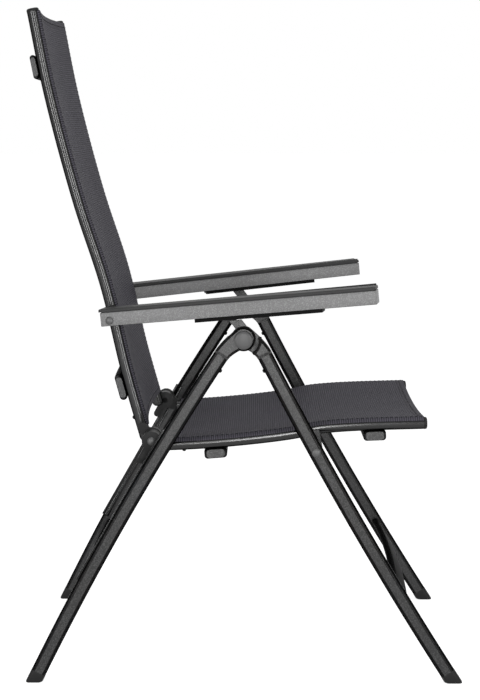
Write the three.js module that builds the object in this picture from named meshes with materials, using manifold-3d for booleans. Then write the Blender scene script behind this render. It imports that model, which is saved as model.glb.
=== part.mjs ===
// Folding high-back garden chair with armrests: bent tube legs that close like scissors, a fabric seat and a
// fabric back that reclines. Millimetres, +Z up. The chair faces -Y, stands on Z = 0 and is symmetric about X = 0.
import * as THREE from 'three';
import { mergeVertices } from 'three/addons/utils/BufferGeometryUtils.js';
import Module from 'manifold-3d';

const wasm = await Module();
wasm.setup();

// Clearances, and how far a cut runs past the surface it opens
const SEAT_GAP = 0.3;
const RUNNING_GAP = 0.3;
const CUT_OVERRUN = 3;

// The main frame: height of the folding hub and the half spacings of the three pairs of side tubes
const HUB_HEIGHT = 573;
const LEG_PLANE = 282;
const SEAT_TUBE_PLANE = 226;
const BACK_TUBE_PLANE = 199;

// Leg tubes are flat ovals, gently bowed towards the rear
const LEG_WIDTH = 25;
const LEG_THICKNESS = 18;
const LEG_CORNER = 6;
const REAR_LEG = { topOut: 36.5, topDrop: 26, reach: 343, bow: 9.7, sign: 1 };
const FRONT_LEG = { topOut: 35, topDrop: 26, reach: 342, bow: 7.5, sign: -1 };
const LEG_END_HEIGHT = 12;
const LEG_STEPS = 12;

// Sides of the round pieces
const SMALL_SIDES = 12;
const ROD_SIDES = 16;
const BIG_SIDES = 28;
const NUT_SIDES = 6;
const HALVINGS = 40;

// Plastic boots over the leg ends
const FOOT_WALL = 1.2;
const FOOT_LENGTH = 24;
const FOOT_BELOW = 14.5;
const GROUND_share = 4;

// Hub: two cast knuckles side by side on one bolt, and the strut that carries the armrest
const HUB_RADIUS = 22;
const HUB_SHOULDER = 25.5;
const KNUCKLE_CROWN_DEGREES = 26;
const KNUCKLE_CHIN_DEGREES = 20;
const KNUCKLE_SHOULDER_share = 0.75;
const KNUCKLE_ARMPIT_share = 0.36;
const HUB_BOLT_RADIUS = 6;
const HUB_NUT_RADIUS = 11;
const HUB_NUT_THICKNESS = 4;
const HUB_CAP_RADIUS = 15;
const HUB_CAP_HEIGHT = 7;
const STRUT_WIDTH = 17;
const STRUT_LEAN = 38;
const STRUT_AHEAD = 9;
const STRUT_SLACK = 2;
const CATCH_PIN_RADIUS = 3;
const CATCH_PIN_STANDOUT = 2;
const LEG_SCREW_RADIUS = 3.4;
const LEG_SCREW_HEIGHT = 2.6;
const LEG_SCREW_share = 0.035;

// Seat: its hinge slides down the rear legs, and it turns on a rivet in each front leg
const SEAT_PIVOT_share = 0.291;
const HINGE_share = 0.297;
const HINGE_BEHIND = 20.2;
const TUBE_RADIUS = 10;
const TUBE_SIDES = 12;
const SEAT_DEPTH = 452;
const SEAT_RISE = 25.5;
const SEAT_TUBE_shares = [
  [0.049, -0.45], [0.177, -0.34], [0.336, -0.1], [0.469, 0.18], [0.535, 0.37],
  [0.602, 0.63], [0.69, 0.79], [0.794, 0.89], [1, 1],
];
const SEAT_STEPS = 18;
const CAP_HEIGHT = 5;
const LUG_RADIUS = 12;
const LUG_THICKNESS = 5;
const RIVET_RADIUS = 5;
const RIVET_HEAD_RADIUS = 7.5;
const RIVET_HEAD_HEIGHT = 3.6;
const RIVET_SPACER_RADIUS = 9;

// Hinge between seat and back, with its carriage on the slide rail of the rear leg
const BACK_BRACKET_THICKNESS = 12.7;
const HINGE_EYE_RADIUS = 16;
const SEAT_EYE_RADIUS = 14.4;
const HINGE_BOLT_RADIUS = 5;
const HINGE_HEAD_RADIUS = 7;
const HINGE_HEAD_HEIGHT = 3.4;
const SEAT_EYE_WIDTH = 27.4;
const CARRIAGE_THICKNESS = 11.7;
const CARRIAGE_LENGTH = 44;
const CARRIAGE_WIDTH = 16;
const TONGUE_ABOVE_HINGE = 8;
const TONGUE_BELOW_HINGE = 5;
const RAIL_THICKNESS = 6.7;
const RAIL_WIDTH = 13;
const RAIL_BEHIND = 8.5;
const RAIL_ABOVE_HINGE = 30;
const RAIL_BELOW_HINGE = 262;
const BACK_PIVOT_REACH = 18;
const BACK_PIN_RADIUS = 3.5;
const BRACKET_WIDTH = 17;
const BACK_STRAP_THICKNESS = 6;

// Back: reclines about the hinge
const BACK_HEIGHT = 703;
const BACK_LEAN = 194;
const BACK_TUBE_shares = [
  [0.067, -0.003], [0.226, 0.155], [0.401, 0.36], [0.632, 0.561], [0.867, 0.812], [1, 1],
];
const BACK_STEPS = 22;

// Armrests, splayed outwards to the front. Their pivots are on the back tubes, a little higher than the hubs.
const ARM_ABOVE_HUB = 29;
const ARM_PLANE = 242;
const ARM_LENGTH = 440;
const ARM_BEHIND = 15;
const ARM_HEIGHT = 22.4;
const ARM_CENTRE_RISE = 2.2;
const ARM_WIDTH = 41;
const ARM_WALL = 2;
const ARM_SLOPE = 5.5;
const ARM_SPLAY = 9;
const ARM_SCREW_RADIUS = 4;
const ARM_SCREW_HEAD_RADIUS = 6.7;
const ARM_SCREW_HEAD_HEIGHT = 3.2;
const ARM_SPACER_RADIUS = 9;
const ARM_LINK_RISE = 13;
const ARM_LINK_RADIUS = 8;
const ARM_LINK_THICKNESS = 5;
const ARM_LINK_PIN_RADIUS = 3;
const PAD_WIDTH = 46;
const PAD_HEIGHT = 6;
const PAD_CORNER = 3.6;
const PAD_BEHIND = 18;
const RATCHET_FROM = 141;
const RATCHET_TO = 351;
const RATCHET_HEIGHT = 12;
const RATCHET_DROP = 6;
const RATCHET_WALL = 2;
const RATCHET_INNER_DROP = 1;
const NOTCH_RADIUS = 3.4;
const NOTCH_COUNT = 7;

// Crossbars: flat ovals, bowed a little away from the sitter. Those of the legs butt against the inner faces,
// those of the seat and the back lie across the tubes.
const BAR_STEPS = 10;
const BAR_OVERLAP = 6;
const LEG_BAR = { width: 43, thickness: 12, corner: 5.9, bow: 7 };
const SEAT_BAR = { width: 41, thickness: 17, corner: 8.4, bow: 3 };
const BACK_UPPER_BAR = { width: 40, thickness: 9.8, corner: 4.8, bow: 3 };
const BACK_LOWER_BAR = { width: 45, thickness: 13, corner: 6.4, bow: 3 };
const REAR_LEG_BAR_AHEAD = 6.2;
const FRONT_LEG_BAR_share = 0.747;
const REAR_LEG_BAR_share = 0.757;
const SEAT_FRONT_BAR_share = 0.81;
const SEAT_REAR_BAR_share = 0.189;
const BACK_UPPER_BAR_share = 0.878;
const BACK_LOWER_BAR_share = 0.125;

// Fabric
const SLING_THICKNESS = 2.4;
const SLING_ABOVE_AXIS = 6;
const SLING_SAG = 5;
const SLING_CELLS = 10;
const SLING_STEPS = 18;
const SEAT_SLING_FROM_share = 0.02;
const SEAT_SLING_TO_share = 1;
const BACK_SLING_FROM_share = 0.026;
const BACK_SLING_TO_share = 1;

const materials = {
  frame: new THREE.MeshStandardMaterial({ color: 0x57585a, roughness: 0.42, metalness: 0.6 }),
  arm: new THREE.MeshStandardMaterial({ color: 0x7c7d7f, roughness: 0.45, metalness: 0.6 }),
  plastic: new THREE.MeshStandardMaterial({ color: 0x1d1d1f, roughness: 0.5, metalness: 0 }),
  pad: new THREE.MeshStandardMaterial({ color: 0x4a4b4d, roughness: 0.55, metalness: 0 }),
  steel: new THREE.MeshStandardMaterial({ color: 0x6d6e70, roughness: 0.35, metalness: 0.8 }),
  fabric: new THREE.MeshStandardMaterial({ color: 0x3a393d, roughness: 0.85, metalness: 0 }),
};

// Solids

function solidOf(geometry) {
  const bare = geometry.clone();
  bare.deleteAttribute('normal');
  bare.deleteAttribute('uv');
  const merged = mergeVertices(bare);
  return new wasm.Manifold(new wasm.Mesh({
    numProp: 3,
    vertProperties: merged.attributes.position.array,
    triVerts: new Uint32Array(merged.index.array),
  }));
}

function geometryOf(solid) {
  const mesh = solid.getMesh();
  const geometry = new THREE.BufferGeometry();
  geometry.setAttribute('position', new THREE.BufferAttribute(new Float32Array(mesh.vertProperties), 3));
  geometry.setIndex(new THREE.BufferAttribute(new Uint32Array(mesh.triVerts), 1));
  const flat = geometry.toNonIndexed();
  flat.computeVertexNormals();
  return flat;
}

const joined = (...geometries) => geometryOf(geometries.map(solidOf).reduce((sum, piece) => sum.add(piece)));
const cut = (geometry, ...tools) =>
  geometryOf(tools.map(solidOf).reduce((sum, tool) => sum.subtract(tool), solidOf(geometry)));

// A side view is drawn in (y, z) and stands up between two X places
const SIDE_VIEW = new THREE.Matrix4().makeBasis(
  new THREE.Vector3(0, 1, 0), new THREE.Vector3(0, 0, 1), new THREE.Vector3(1, 0, 0));

function sidePlate(shape, xIn, xOut, curveSegments = 6) {
  const plate = new THREE.ExtrudeGeometry(shape, { depth: xOut - xIn, bevelEnabled: false, curveSegments });
  return plate.applyMatrix4(SIDE_VIEW).translate(xIn, 0, 0);
}

function rod(centre, radius, xIn, xOut, sides = ROD_SIDES) {
  const cylinder = new THREE.CylinderGeometry(radius, radius, xOut - xIn, sides);
  return cylinder.rotateZ(-Math.PI / 2).translate((xIn + xOut) / 2, centre.y, centre.z);
}

// A domed head or plug that starts at a point and swells along a direction
const DOME_shares = [[0, 0], [1, 0], [1, 0.35], [0.86, 0.75], [0.5, 1], [0, 1]];
function dome(point, direction, radius, height, sides = SMALL_SIDES) {
  const profile = DOME_shares.map(([out, up]) => new THREE.Vector2(out * radius, up * height));
  const geometry = new THREE.LatheGeometry(profile, sides);
  const turn = new THREE.Quaternion().setFromUnitVectors(new THREE.Vector3(0, 1, 0), direction);
  return geometry.applyQuaternion(turn).translate(point.x, point.y, point.z);
}

function ovalSection(thickness, width, corner) {
  const x = thickness / 2 - corner;
  const y = width / 2 - corner;
  const shape = new THREE.Shape();
  shape.absarc(x, y, corner, 0, Math.PI / 2);
  shape.absarc(-x, y, corner, Math.PI / 2, Math.PI);
  shape.absarc(-x, -y, corner, Math.PI, 1.5 * Math.PI);
  shape.absarc(x, -y, corner, 1.5 * Math.PI, 2 * Math.PI);
  return shape;
}

function roundSection(radius) {
  return new THREE.Shape().absarc(0, 0, radius, 0, 2 * Math.PI);
}

function alongPath(curve, section, steps, curveSegments = 1) {
  return new THREE.ExtrudeGeometry(section, { steps, extrudePath: curve, bevelEnabled: false, curveSegments });
}

// Layout of the side view: every point is (0, y, z)

const at = (y, z) => new THREE.Vector3(0, y, z);
const ACROSS = new THREE.Vector3(1, 0, 0);
const hub = at(0, HUB_HEIGHT);

function legPath(leg) {
  const top = at(leg.sign * leg.topOut, HUB_HEIGHT - leg.topDrop);
  const end = at(leg.sign * leg.reach, LEG_END_HEIGHT);
  const down = end.clone().sub(top).normalize();
  const rearward = at(-down.z, down.y);
  const middle = top.clone().lerp(end, 0.5).addScaledVector(rearward, 2 * leg.bow);
  return new THREE.QuadraticBezierCurve3(top, middle, end);
}

// The point of a rising path that has a given height
function pointAtHeight(path, z) {
  let low = 0;
  let high = 1;
  for (let step = 0; step < HALVINGS; step += 1) {
    const middle = (low + high) / 2;
    if (path.getPoint(middle).z < z) low = middle;
    else high = middle;
  }
  return path.getPoint(low);
}

const rearLegPath = legPath(REAR_LEG);
const frontLegPath = legPath(FRONT_LEG);
const slideDown = rearLegPath.v2.clone().sub(rearLegPath.v0).normalize();
const slideBehind = at(-slideDown.z, slideDown.y);
const hinge = rearLegPath.getPoint(HINGE_share).addScaledVector(slideBehind, HINGE_BEHIND);
const seatPivot = frontLegPath.getPoint(SEAT_PIVOT_share);

const seatPath = new THREE.CatmullRomCurve3(
  SEAT_TUBE_shares.map(([forward, rise]) => at(hinge.y - forward * SEAT_DEPTH, hinge.z + rise * SEAT_RISE)));
const backPath = new THREE.CatmullRomCurve3(
  BACK_TUBE_shares.map(([lean, up]) => at(hinge.y + lean * BACK_LEAN, hinge.z + up * BACK_HEIGHT)));
const backPivot = backPath.getPoint(0).addScaledVector(backPath.getTangent(0), BACK_PIVOT_REACH);
const armPivot = pointAtHeight(backPath, HUB_HEIGHT + ARM_ABOVE_HUB);
const armLinkPivot = pointAtHeight(backPath, HUB_HEIGHT + ARM_ABOVE_HUB + ARM_LINK_RISE);

// Where the pieces lie from side to side

const legInner = LEG_PLANE - LEG_THICKNESS / 2;
const legOuter = LEG_PLANE + LEG_THICKNESS / 2;
const frontKnuckleOuter = LEG_PLANE - RUNNING_GAP / 2;
const rearKnuckleInner = LEG_PLANE + RUNNING_GAP / 2;
const seatTubeOuter = SEAT_TUBE_PLANE + TUBE_RADIUS;
const backTubeOuter = BACK_TUBE_PLANE + TUBE_RADIUS;
const backBracketInner = backTubeOuter + SEAT_GAP;
const armLinkInner = backTubeOuter + SEAT_GAP;
const backBracketOuter = backBracketInner + BACK_BRACKET_THICKNESS;
const seatEyeInner = backBracketOuter + RUNNING_GAP;
const seatEyeOuter = seatEyeInner + SEAT_EYE_WIDTH;
const railInner = legInner - SEAT_GAP - RAIL_THICKNESS;
const carriageInner = seatEyeOuter + RUNNING_GAP;
const carriageOuter = carriageInner + CARRIAGE_THICKNESS;
const lugInner = seatTubeOuter + SEAT_GAP;
const lugOuter = lugInner + LUG_THICKNESS;

// Rear and front legs

function legTube(path, holes) {
  const section = ovalSection(LEG_THICKNESS, LEG_WIDTH, LEG_CORNER);
  const tube = alongPath(path, section, LEG_STEPS).translate(LEG_PLANE, 0, 0);
  return holes.length ? cut(tube, ...holes) : tube;
}

function foot(path) {
  const end = path.getPoint(1);
  const down = path.getTangent(1);
  const along = (from, to) => new THREE.LineCurve3(
    end.clone().addScaledVector(down, from), end.clone().addScaledVector(down, to));
  const shell = 2 * FOOT_WALL;
  const outer = ovalSection(LEG_THICKNESS + shell, LEG_WIDTH + shell, LEG_CORNER + FOOT_WALL);
  const inner = ovalSection(LEG_THICKNESS + 2 * SEAT_GAP, LEG_WIDTH + 2 * SEAT_GAP, LEG_CORNER + SEAT_GAP);
  const boot = alongPath(along(-FOOT_LENGTH, FOOT_BELOW), outer, 1).translate(LEG_PLANE, 0, 0);
  const hollow = alongPath(along(-FOOT_LENGTH - CUT_OVERRUN, SEAT_GAP), inner, 1).translate(LEG_PLANE, 0, 0);
  const side = GROUND_share * LEG_WIDTH;
  const ground = new THREE.BoxGeometry(side, side, side).translate(LEG_PLANE, end.y, -side / 2);
  return cut(boot, hollow, ground);
}

// The cheek of a knuckle: round about the bolt, with an arm that meets its leg tube square
function knuckleOutline(path, sign) {
  const top = path.getPoint(0);
  const down = path.getTangent(0);
  const rearward = at(-down.z, down.y);
  const high = top.clone().addScaledVector(rearward, sign * LEG_WIDTH / 2).addScaledVector(down, -SEAT_GAP);
  const low = top.clone().addScaledVector(rearward, -sign * LEG_WIDTH / 2).addScaledVector(down, -SEAT_GAP);
  const crown = Math.PI / 2 - sign * THREE.MathUtils.degToRad(KNUCKLE_CROWN_DEGREES);
  const chin = -Math.PI / 2 + sign * THREE.MathUtils.degToRad(KNUCKLE_CHIN_DEGREES);
  const onHub = (angle) => at(hub.y + HUB_RADIUS * Math.cos(angle), hub.z + HUB_RADIUS * Math.sin(angle));
  const shoulder = high.clone().addScaledVector(down, -KNUCKLE_SHOULDER_share * HUB_SHOULDER);
  const armpit = low.clone().addScaledVector(down, -KNUCKLE_ARMPIT_share * HUB_SHOULDER);
  const shape = new THREE.Shape();
  shape.moveTo(high.y, high.z);
  shape.quadraticCurveTo(shoulder.y, shoulder.z, onHub(crown).y, onHub(crown).z);
  shape.absarc(hub.y, hub.z, HUB_RADIUS, crown, chin, sign < 0);
  shape.quadraticCurveTo(armpit.y, armpit.z, low.y, low.z);
  shape.closePath();
  return shape;
}

function knuckle(path, sign, cheekIn, cheekOut) {
  const outline = knuckleOutline(path, sign);
  const arm = cut(
    sidePlate(outline, legInner, legOuter),
    rod(hub, HUB_SHOULDER, legInner - CUT_OVERRUN, legOuter + CUT_OVERRUN, BIG_SIDES));
  const cheek = sidePlate(outline, cheekIn, cheekOut);
  const bore = rod(hub, HUB_BOLT_RADIUS + RUNNING_GAP, legInner - CUT_OVERRUN, legOuter + CUT_OVERRUN);
  return cut(joined(arm, cheek), bore);
}

// The strut stands on the front knuckle and ends just under the ratchet of the armrest
const strutUp = at(Math.sin(THREE.MathUtils.degToRad(STRUT_LEAN)), Math.cos(THREE.MathUtils.degToRad(STRUT_LEAN)));
const strutFoot = hub.clone().addScaledVector(at(-strutUp.z, strutUp.y), STRUT_AHEAD);

const armForward = at(-Math.cos(THREE.MathUtils.degToRad(ARM_SLOPE)), Math.sin(THREE.MathUtils.degToRad(ARM_SLOPE)));
const armUp = at(-armForward.z, armForward.y).negate();

// Height under the armrest: how far up the strut the ratchet's lower edge is
function strutLength() {
  const centre = armPivot.clone().add(at(0, ARM_CENTRE_RISE));
  const under = centre.addScaledVector(armUp, -ARM_HEIGHT / 2 - RATCHET_DROP - STRUT_SLACK);
  return under.clone().sub(strutFoot).dot(armUp) / strutUp.dot(armUp);
}

function frontKnuckle() {
  const length = strutLength();
  const across = at(strutUp.z, -strutUp.y);
  const corner = (along, out) => {
    const p = strutFoot.clone().addScaledVector(strutUp, along).addScaledVector(across, out * STRUT_WIDTH / 2);
    return new THREE.Vector2(p.y, p.z);
  };
  const slant = STRUT_WIDTH / 2 * across.dot(armUp) / strutUp.dot(armUp);
  const strut = new THREE.Shape([
    corner(0, 1), corner(0, -1), corner(length + slant, -1), corner(length - slant, 1),
  ]);
  const pinCentre = strutFoot.clone().addScaledVector(strutUp, length - 2 * CATCH_PIN_RADIUS);
  return joined(
    knuckle(frontLegPath, FRONT_LEG.sign, legInner, frontKnuckleOuter),
    cut(sidePlate(strut, legInner, frontKnuckleOuter),
      rod(hub, HUB_BOLT_RADIUS + RUNNING_GAP, legInner - CUT_OVERRUN, legOuter)),
    rod(pinCentre, CATCH_PIN_RADIUS, legInner - CATCH_PIN_STANDOUT, frontKnuckleOuter + CATCH_PIN_STANDOUT, SMALL_SIDES));
}

function legScrew(path, sign) {
  const inwards = at(path.getTangent(LEG_SCREW_share).z, -path.getTangent(LEG_SCREW_share).y)
    .multiplyScalar(sign);
  const seat = path.getPoint(LEG_SCREW_share).addScaledVector(inwards, LEG_WIDTH / 2 + SEAT_GAP);
  seat.x = LEG_PLANE;
  return dome(seat, inwards, LEG_SCREW_RADIUS, LEG_SCREW_HEIGHT);
}

function hubBolt() {
  const nutInner = legInner - SEAT_GAP - HUB_NUT_THICKNESS;
  return joined(
    rod(hub, HUB_BOLT_RADIUS, nutInner, legOuter),
    rod(hub, HUB_NUT_RADIUS, nutInner, legInner - SEAT_GAP, NUT_SIDES));
}

function hubCap() {
  return dome(hub.clone().setX(legOuter + SEAT_GAP), ACROSS, HUB_CAP_RADIUS, HUB_CAP_HEIGHT, BIG_SIDES);
}

function seatRivet() {
  return joined(
    rod(seatPivot, RIVET_RADIUS, lugInner, legOuter + RIVET_HEAD_HEIGHT / 2),
    rod(seatPivot, RIVET_SPACER_RADIUS, lugOuter + RUNNING_GAP, legInner - SEAT_GAP),
    dome(seatPivot.clone().setX(legOuter + SEAT_GAP), ACROSS, RIVET_HEAD_RADIUS, RIVET_HEAD_HEIGHT));
}

// Slide rail on the inner face of the rear leg, and the carriage beside it

const onSlide = (along, behind) =>
  hinge.clone().addScaledVector(slideDown, along).addScaledVector(slideBehind, behind);

function slideShape(from, to, low, high) {
  return new THREE.Shape([[from, low], [to, low], [to, high], [from, high]].map(([along, behind]) => {
    const p = onSlide(along, behind);
    return new THREE.Vector2(p.y, p.z);
  }));
}

function slideRail() {
  const middle = RAIL_BEHIND - HINGE_BEHIND;
  const outline = slideShape(
    -RAIL_ABOVE_HINGE, RAIL_BELOW_HINGE, middle - RAIL_WIDTH / 2, middle + RAIL_WIDTH / 2);
  return sidePlate(outline, railInner, railInner + RAIL_THICKNESS);
}

function slideCarriage() {
  const block = sidePlate(
    slideShape(0, CARRIAGE_LENGTH, -CARRIAGE_WIDTH / 2, CARRIAGE_WIDTH / 2), carriageInner, carriageOuter);
  const eye = rod(hinge, HINGE_EYE_RADIUS, carriageInner, carriageOuter, BIG_SIDES);
  const middle = RAIL_BEHIND - HINGE_BEHIND;
  const tongue = sidePlate(
    slideShape(-TONGUE_ABOVE_HINGE, TONGUE_BELOW_HINGE, middle - RAIL_WIDTH / 4, middle + RAIL_WIDTH / 4),
    carriageOuter - SEAT_GAP, railInner - RUNNING_GAP);
  const bore = rod(hinge, HINGE_BOLT_RADIUS + RUNNING_GAP, carriageInner - CUT_OVERRUN, railInner + CUT_OVERRUN);
  return cut(joined(block, eye, tongue), bore);
}

function hingeBolt() {
  const headInner = carriageOuter + RUNNING_GAP;
  return joined(
    rod(hinge, HINGE_BOLT_RADIUS, backBracketInner, headInner + SEAT_GAP),
    dome(hinge.clone().setX(headInner), ACROSS, HINGE_HEAD_RADIUS, HINGE_HEAD_HEIGHT));
}

// Seat frame

function roundTube(path, plane, steps) {
  return alongPath(path, roundSection(TUBE_RADIUS), steps, TUBE_SIDES / 2).translate(plane, 0, 0);
}

function tubeCap(path, plane) {
  const point = path.getPoint(1).addScaledVector(path.getTangent(1), SEAT_GAP).setX(plane);
  return dome(point, path.getTangent(1), TUBE_RADIUS, CAP_HEIGHT, TUBE_SIDES);
}

// A strap with one round end about a pin and a square end on the tube it holds
function strapOutline(pin, radius, end, width) {
  const along = end.clone().sub(pin).normalize();
  const across = at(-along.z, along.y);
  const start = Math.atan2(across.z, across.y);
  const shape = new THREE.Shape();
  shape.absarc(pin.y, pin.z, radius, start, start + Math.PI, false);
  const low = end.clone().addScaledVector(across, -width / 2);
  const high = end.clone().addScaledVector(across, width / 2);
  shape.lineTo(low.y, low.z);
  shape.lineTo(high.y, high.z);
  shape.closePath();
  return shape;
}

// A strap with a round end about each of two points
function linkOutline(low, high, radius) {
  const along = high.clone().sub(low).normalize();
  const start = Math.atan2(along.y, -along.z);
  const shape = new THREE.Shape();
  shape.absarc(low.y, low.z, radius, start, start + Math.PI, false);
  shape.absarc(high.y, high.z, radius, start + Math.PI, start + 2 * Math.PI, false);
  shape.closePath();
  return shape;
}

function seatPivotLug() {
  const above = nearestOnPath(seatPath, seatPivot);
  const outline = strapOutline(seatPivot, LUG_RADIUS, above, 2 * LUG_RADIUS);
  const bore = rod(seatPivot, RIVET_RADIUS + RUNNING_GAP, lugInner - CUT_OVERRUN, lugOuter + CUT_OVERRUN);
  return cut(sidePlate(outline, lugInner, lugOuter), bore);
}

function nearestOnPath(path, point) {
  const places = path.getSpacedPoints(4 * SEAT_STEPS);
  return places.reduce((best, place) => (place.distanceTo(point) < best.distanceTo(point) ? place : best));
}

function seatHingeBracket() {
  const tubeEnd = seatPath.getPoint(0);
  const inwards = seatPath.getTangent(0);
  const end = tubeEnd.clone().addScaledVector(inwards, -SEAT_GAP);
  const outline = strapOutline(hinge, SEAT_EYE_RADIUS, end, 2 * TUBE_RADIUS);
  const strap = sidePlate(outline, seatEyeInner, seatTubeOuter);
  const eye = rod(hinge, SEAT_EYE_RADIUS, seatEyeInner, seatEyeOuter, BIG_SIDES);
  const bore = rod(hinge, HINGE_BOLT_RADIUS + RUNNING_GAP, seatEyeInner - CUT_OVERRUN, seatEyeOuter + CUT_OVERRUN);
  const tube = roundTube(seatPath, SEAT_TUBE_PLANE, SEAT_STEPS);
  return cut(joined(strap, eye), bore, tube);
}

// Back frame

// The bracket turns on the hinge bolt, and its pin carries the back tube
function backHingeBracket() {
  const eye = rod(hinge, HINGE_EYE_RADIUS, backBracketInner, backBracketOuter, BIG_SIDES);
  const strap = sidePlate(linkOutline(hinge, backPivot, BRACKET_WIDTH / 2),
    backBracketInner, backBracketInner + BACK_STRAP_THICKNESS);
  const pin = rod(backPivot, BACK_PIN_RADIUS, BACK_TUBE_PLANE, backBracketInner + SEAT_GAP);
  const bore = rod(hinge, HINGE_BOLT_RADIUS + RUNNING_GAP, backBracketInner - CUT_OVERRUN,
    backBracketOuter + CUT_OVERRUN);
  return cut(joined(eye, strap, pin), bore);
}

// A crossbar is drawn along X with its width along a direction in the side view, and bows square to both
function crossbar(halfSpan, bar, place, widthAlong) {
  const half = halfSpan - bar.bow / halfSpan * bar.thickness;
  const path = new THREE.QuadraticBezierCurve3(
    new THREE.Vector3(-half, 0, 0), new THREE.Vector3(0, 2 * bar.bow, 0), new THREE.Vector3(half, 0, 0));
  const section = ovalSection(bar.width, bar.thickness, bar.corner);
  const outwards = at(widthAlong.z, -widthAlong.y);
  const frame = new THREE.Matrix4().makeBasis(ACROSS, outwards, widthAlong);
  return alongPath(path, section, BAR_STEPS).applyMatrix4(frame).translate(0, place.y, place.z);
}

function legBar(path, share, sign, ahead) {
  const along = path.getTangent(share).multiplyScalar(sign);
  const place = path.getPoint(share).addScaledVector(at(along.z, -along.y), -ahead);
  return crossbar(legInner - SEAT_GAP, LEG_BAR, place, along);
}

// A bar across two side tubes, on the face of the tubes that is turned from the sitter
function tubeBar(path, share, plane, bar, sign) {
  const along = path.getTangentAt(share).multiplyScalar(sign);
  const away = at(along.z, -along.y);
  const place = path.getPointAt(share).addScaledVector(away, TUBE_RADIUS + SEAT_GAP + bar.thickness / 2);
  return crossbar(plane + BAR_OVERLAP, bar, place, along);
}

// Fabric between two side tubes: a thin sheet that sags a little in the middle
function sling(path, from, to, plane, side) {
  const edge = SLING_ABOVE_AXIS - SLING_THICKNESS / 2;
  const halfWidth = plane - Math.sqrt(TUBE_RADIUS ** 2 - edge ** 2) - SEAT_GAP;
  const cell = 2 * halfWidth / SLING_CELLS;
  const sag = (x) => side * (SLING_ABOVE_AXIS - SLING_SAG * (1 - (x / halfWidth) ** 2));
  const xs = Array.from({ length: SLING_CELLS + 1 }, (_, i) => -halfWidth + i * cell);
  const upper = xs.map((x) => new THREE.Vector2(x, sag(x) + SLING_THICKNESS / 2));
  const lower = xs.map((x) => new THREE.Vector2(x, sag(x) - SLING_THICKNESS / 2)).reverse();
  const part = new THREE.CatmullRomCurve3(
    Array.from({ length: SLING_STEPS + 1 }, (_, i) => path.getPointAt(from + (to - from) * i / SLING_STEPS)));
  return alongPath(part, new THREE.Shape([...upper, ...lower]), SLING_STEPS);
}

// Armrests: drawn straight along -Y from the pivot, then tilted up and splayed

function armFrame() {
  const tilt = new THREE.Matrix4().makeRotationX(-THREE.MathUtils.degToRad(ARM_SLOPE));
  const splay = new THREE.Matrix4().makeRotationZ(THREE.MathUtils.degToRad(ARM_SPLAY));
  return new THREE.Matrix4().makeTranslation(ARM_PLANE, armPivot.y, armPivot.z + ARM_CENTRE_RISE)
    .multiply(splay).multiply(tilt);
}

const armBox = (width, yFrom, yTo, zLow, zHigh) =>
  new THREE.BoxGeometry(width, yTo - yFrom, zHigh - zLow).translate(0, (yFrom + yTo) / 2, (zLow + zHigh) / 2);

function armProfile() {
  const outer = armBox(ARM_WIDTH, -ARM_LENGTH, ARM_BEHIND, -ARM_HEIGHT / 2, ARM_HEIGHT / 2);
  const inner = armBox(ARM_WIDTH - 2 * ARM_WALL, -ARM_LENGTH + ARM_WALL, ARM_BEHIND - ARM_WALL,
    -ARM_HEIGHT / 2 - CUT_OVERRUN, ARM_HEIGHT / 2 - ARM_WALL);
  const bore = rod(armPivot, ARM_SCREW_RADIUS + RUNNING_GAP, ARM_PLANE - ARM_WIDTH, ARM_PLANE + ARM_WIDTH);
  return cut(cut(outer, inner).applyMatrix4(armFrame()), bore);
}

function armPad() {
  const half = PAD_WIDTH / 2;
  const shape = new THREE.Shape();
  shape.moveTo(-half, 0);
  shape.lineTo(half, 0);
  shape.lineTo(half, PAD_HEIGHT - PAD_CORNER);
  shape.absarc(half - PAD_CORNER, PAD_HEIGHT - PAD_CORNER, PAD_CORNER, 0, Math.PI / 2);
  shape.absarc(-half + PAD_CORNER, PAD_HEIGHT - PAD_CORNER, PAD_CORNER, Math.PI / 2, Math.PI);
  shape.closePath();
  const length = ARM_LENGTH + PAD_BEHIND;
  const pad = new THREE.ExtrudeGeometry(shape, { depth: length, bevelEnabled: false, curveSegments: 3 });
  pad.rotateX(Math.PI / 2).translate(0, PAD_BEHIND, ARM_HEIGHT / 2 + SEAT_GAP);
  return pad.applyMatrix4(armFrame());
}

function ratchetRail() {
  const top = -ARM_HEIGHT / 2 - RATCHET_DROP + RATCHET_HEIGHT;
  const bottom = -ARM_HEIGHT / 2 - RATCHET_DROP;
  const width = ARM_WIDTH - 2 * ARM_WALL - 2 * SEAT_GAP;
  const ring = cut(
    armBox(width, -RATCHET_TO, -RATCHET_FROM, bottom, top),
    armBox(width - 2 * RATCHET_WALL, -RATCHET_TO + 2 * RATCHET_WALL, -RATCHET_FROM - 2 * RATCHET_WALL,
      bottom - CUT_OVERRUN, top + CUT_OVERRUN));
  const pitch = (RATCHET_TO - RATCHET_FROM) / (NOTCH_COUNT + 1);
  const notches = Array.from({ length: NOTCH_COUNT }, (_, i) =>
    rod(at(-RATCHET_FROM - pitch * (i + 1), bottom), NOTCH_RADIUS, -ARM_WIDTH, ARM_WIDTH, SMALL_SIDES));
  const innerLow = armBox(width, -RATCHET_TO - CUT_OVERRUN, -RATCHET_FROM + CUT_OVERRUN,
    bottom - CUT_OVERRUN, -ARM_HEIGHT / 2 - RATCHET_INNER_DROP).translate(-width / 2, 0, 0);
  return cut(ring, innerLow, ...notches).applyMatrix4(armFrame());
}

function armScrew() {
  const frame = armFrame();
  const outwards = ACROSS.clone().transformDirection(frame);
  const seat = new THREE.Vector3(ARM_WIDTH / 2 + SEAT_GAP, 0, -ARM_CENTRE_RISE).applyMatrix4(frame);
  const head = dome(seat, outwards, ARM_SCREW_HEAD_RADIUS, ARM_SCREW_HEAD_HEIGHT);
  return joined(rod(armPivot, ARM_SCREW_RADIUS, armLinkInner, seat.x + SEAT_GAP), head);
}

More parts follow.
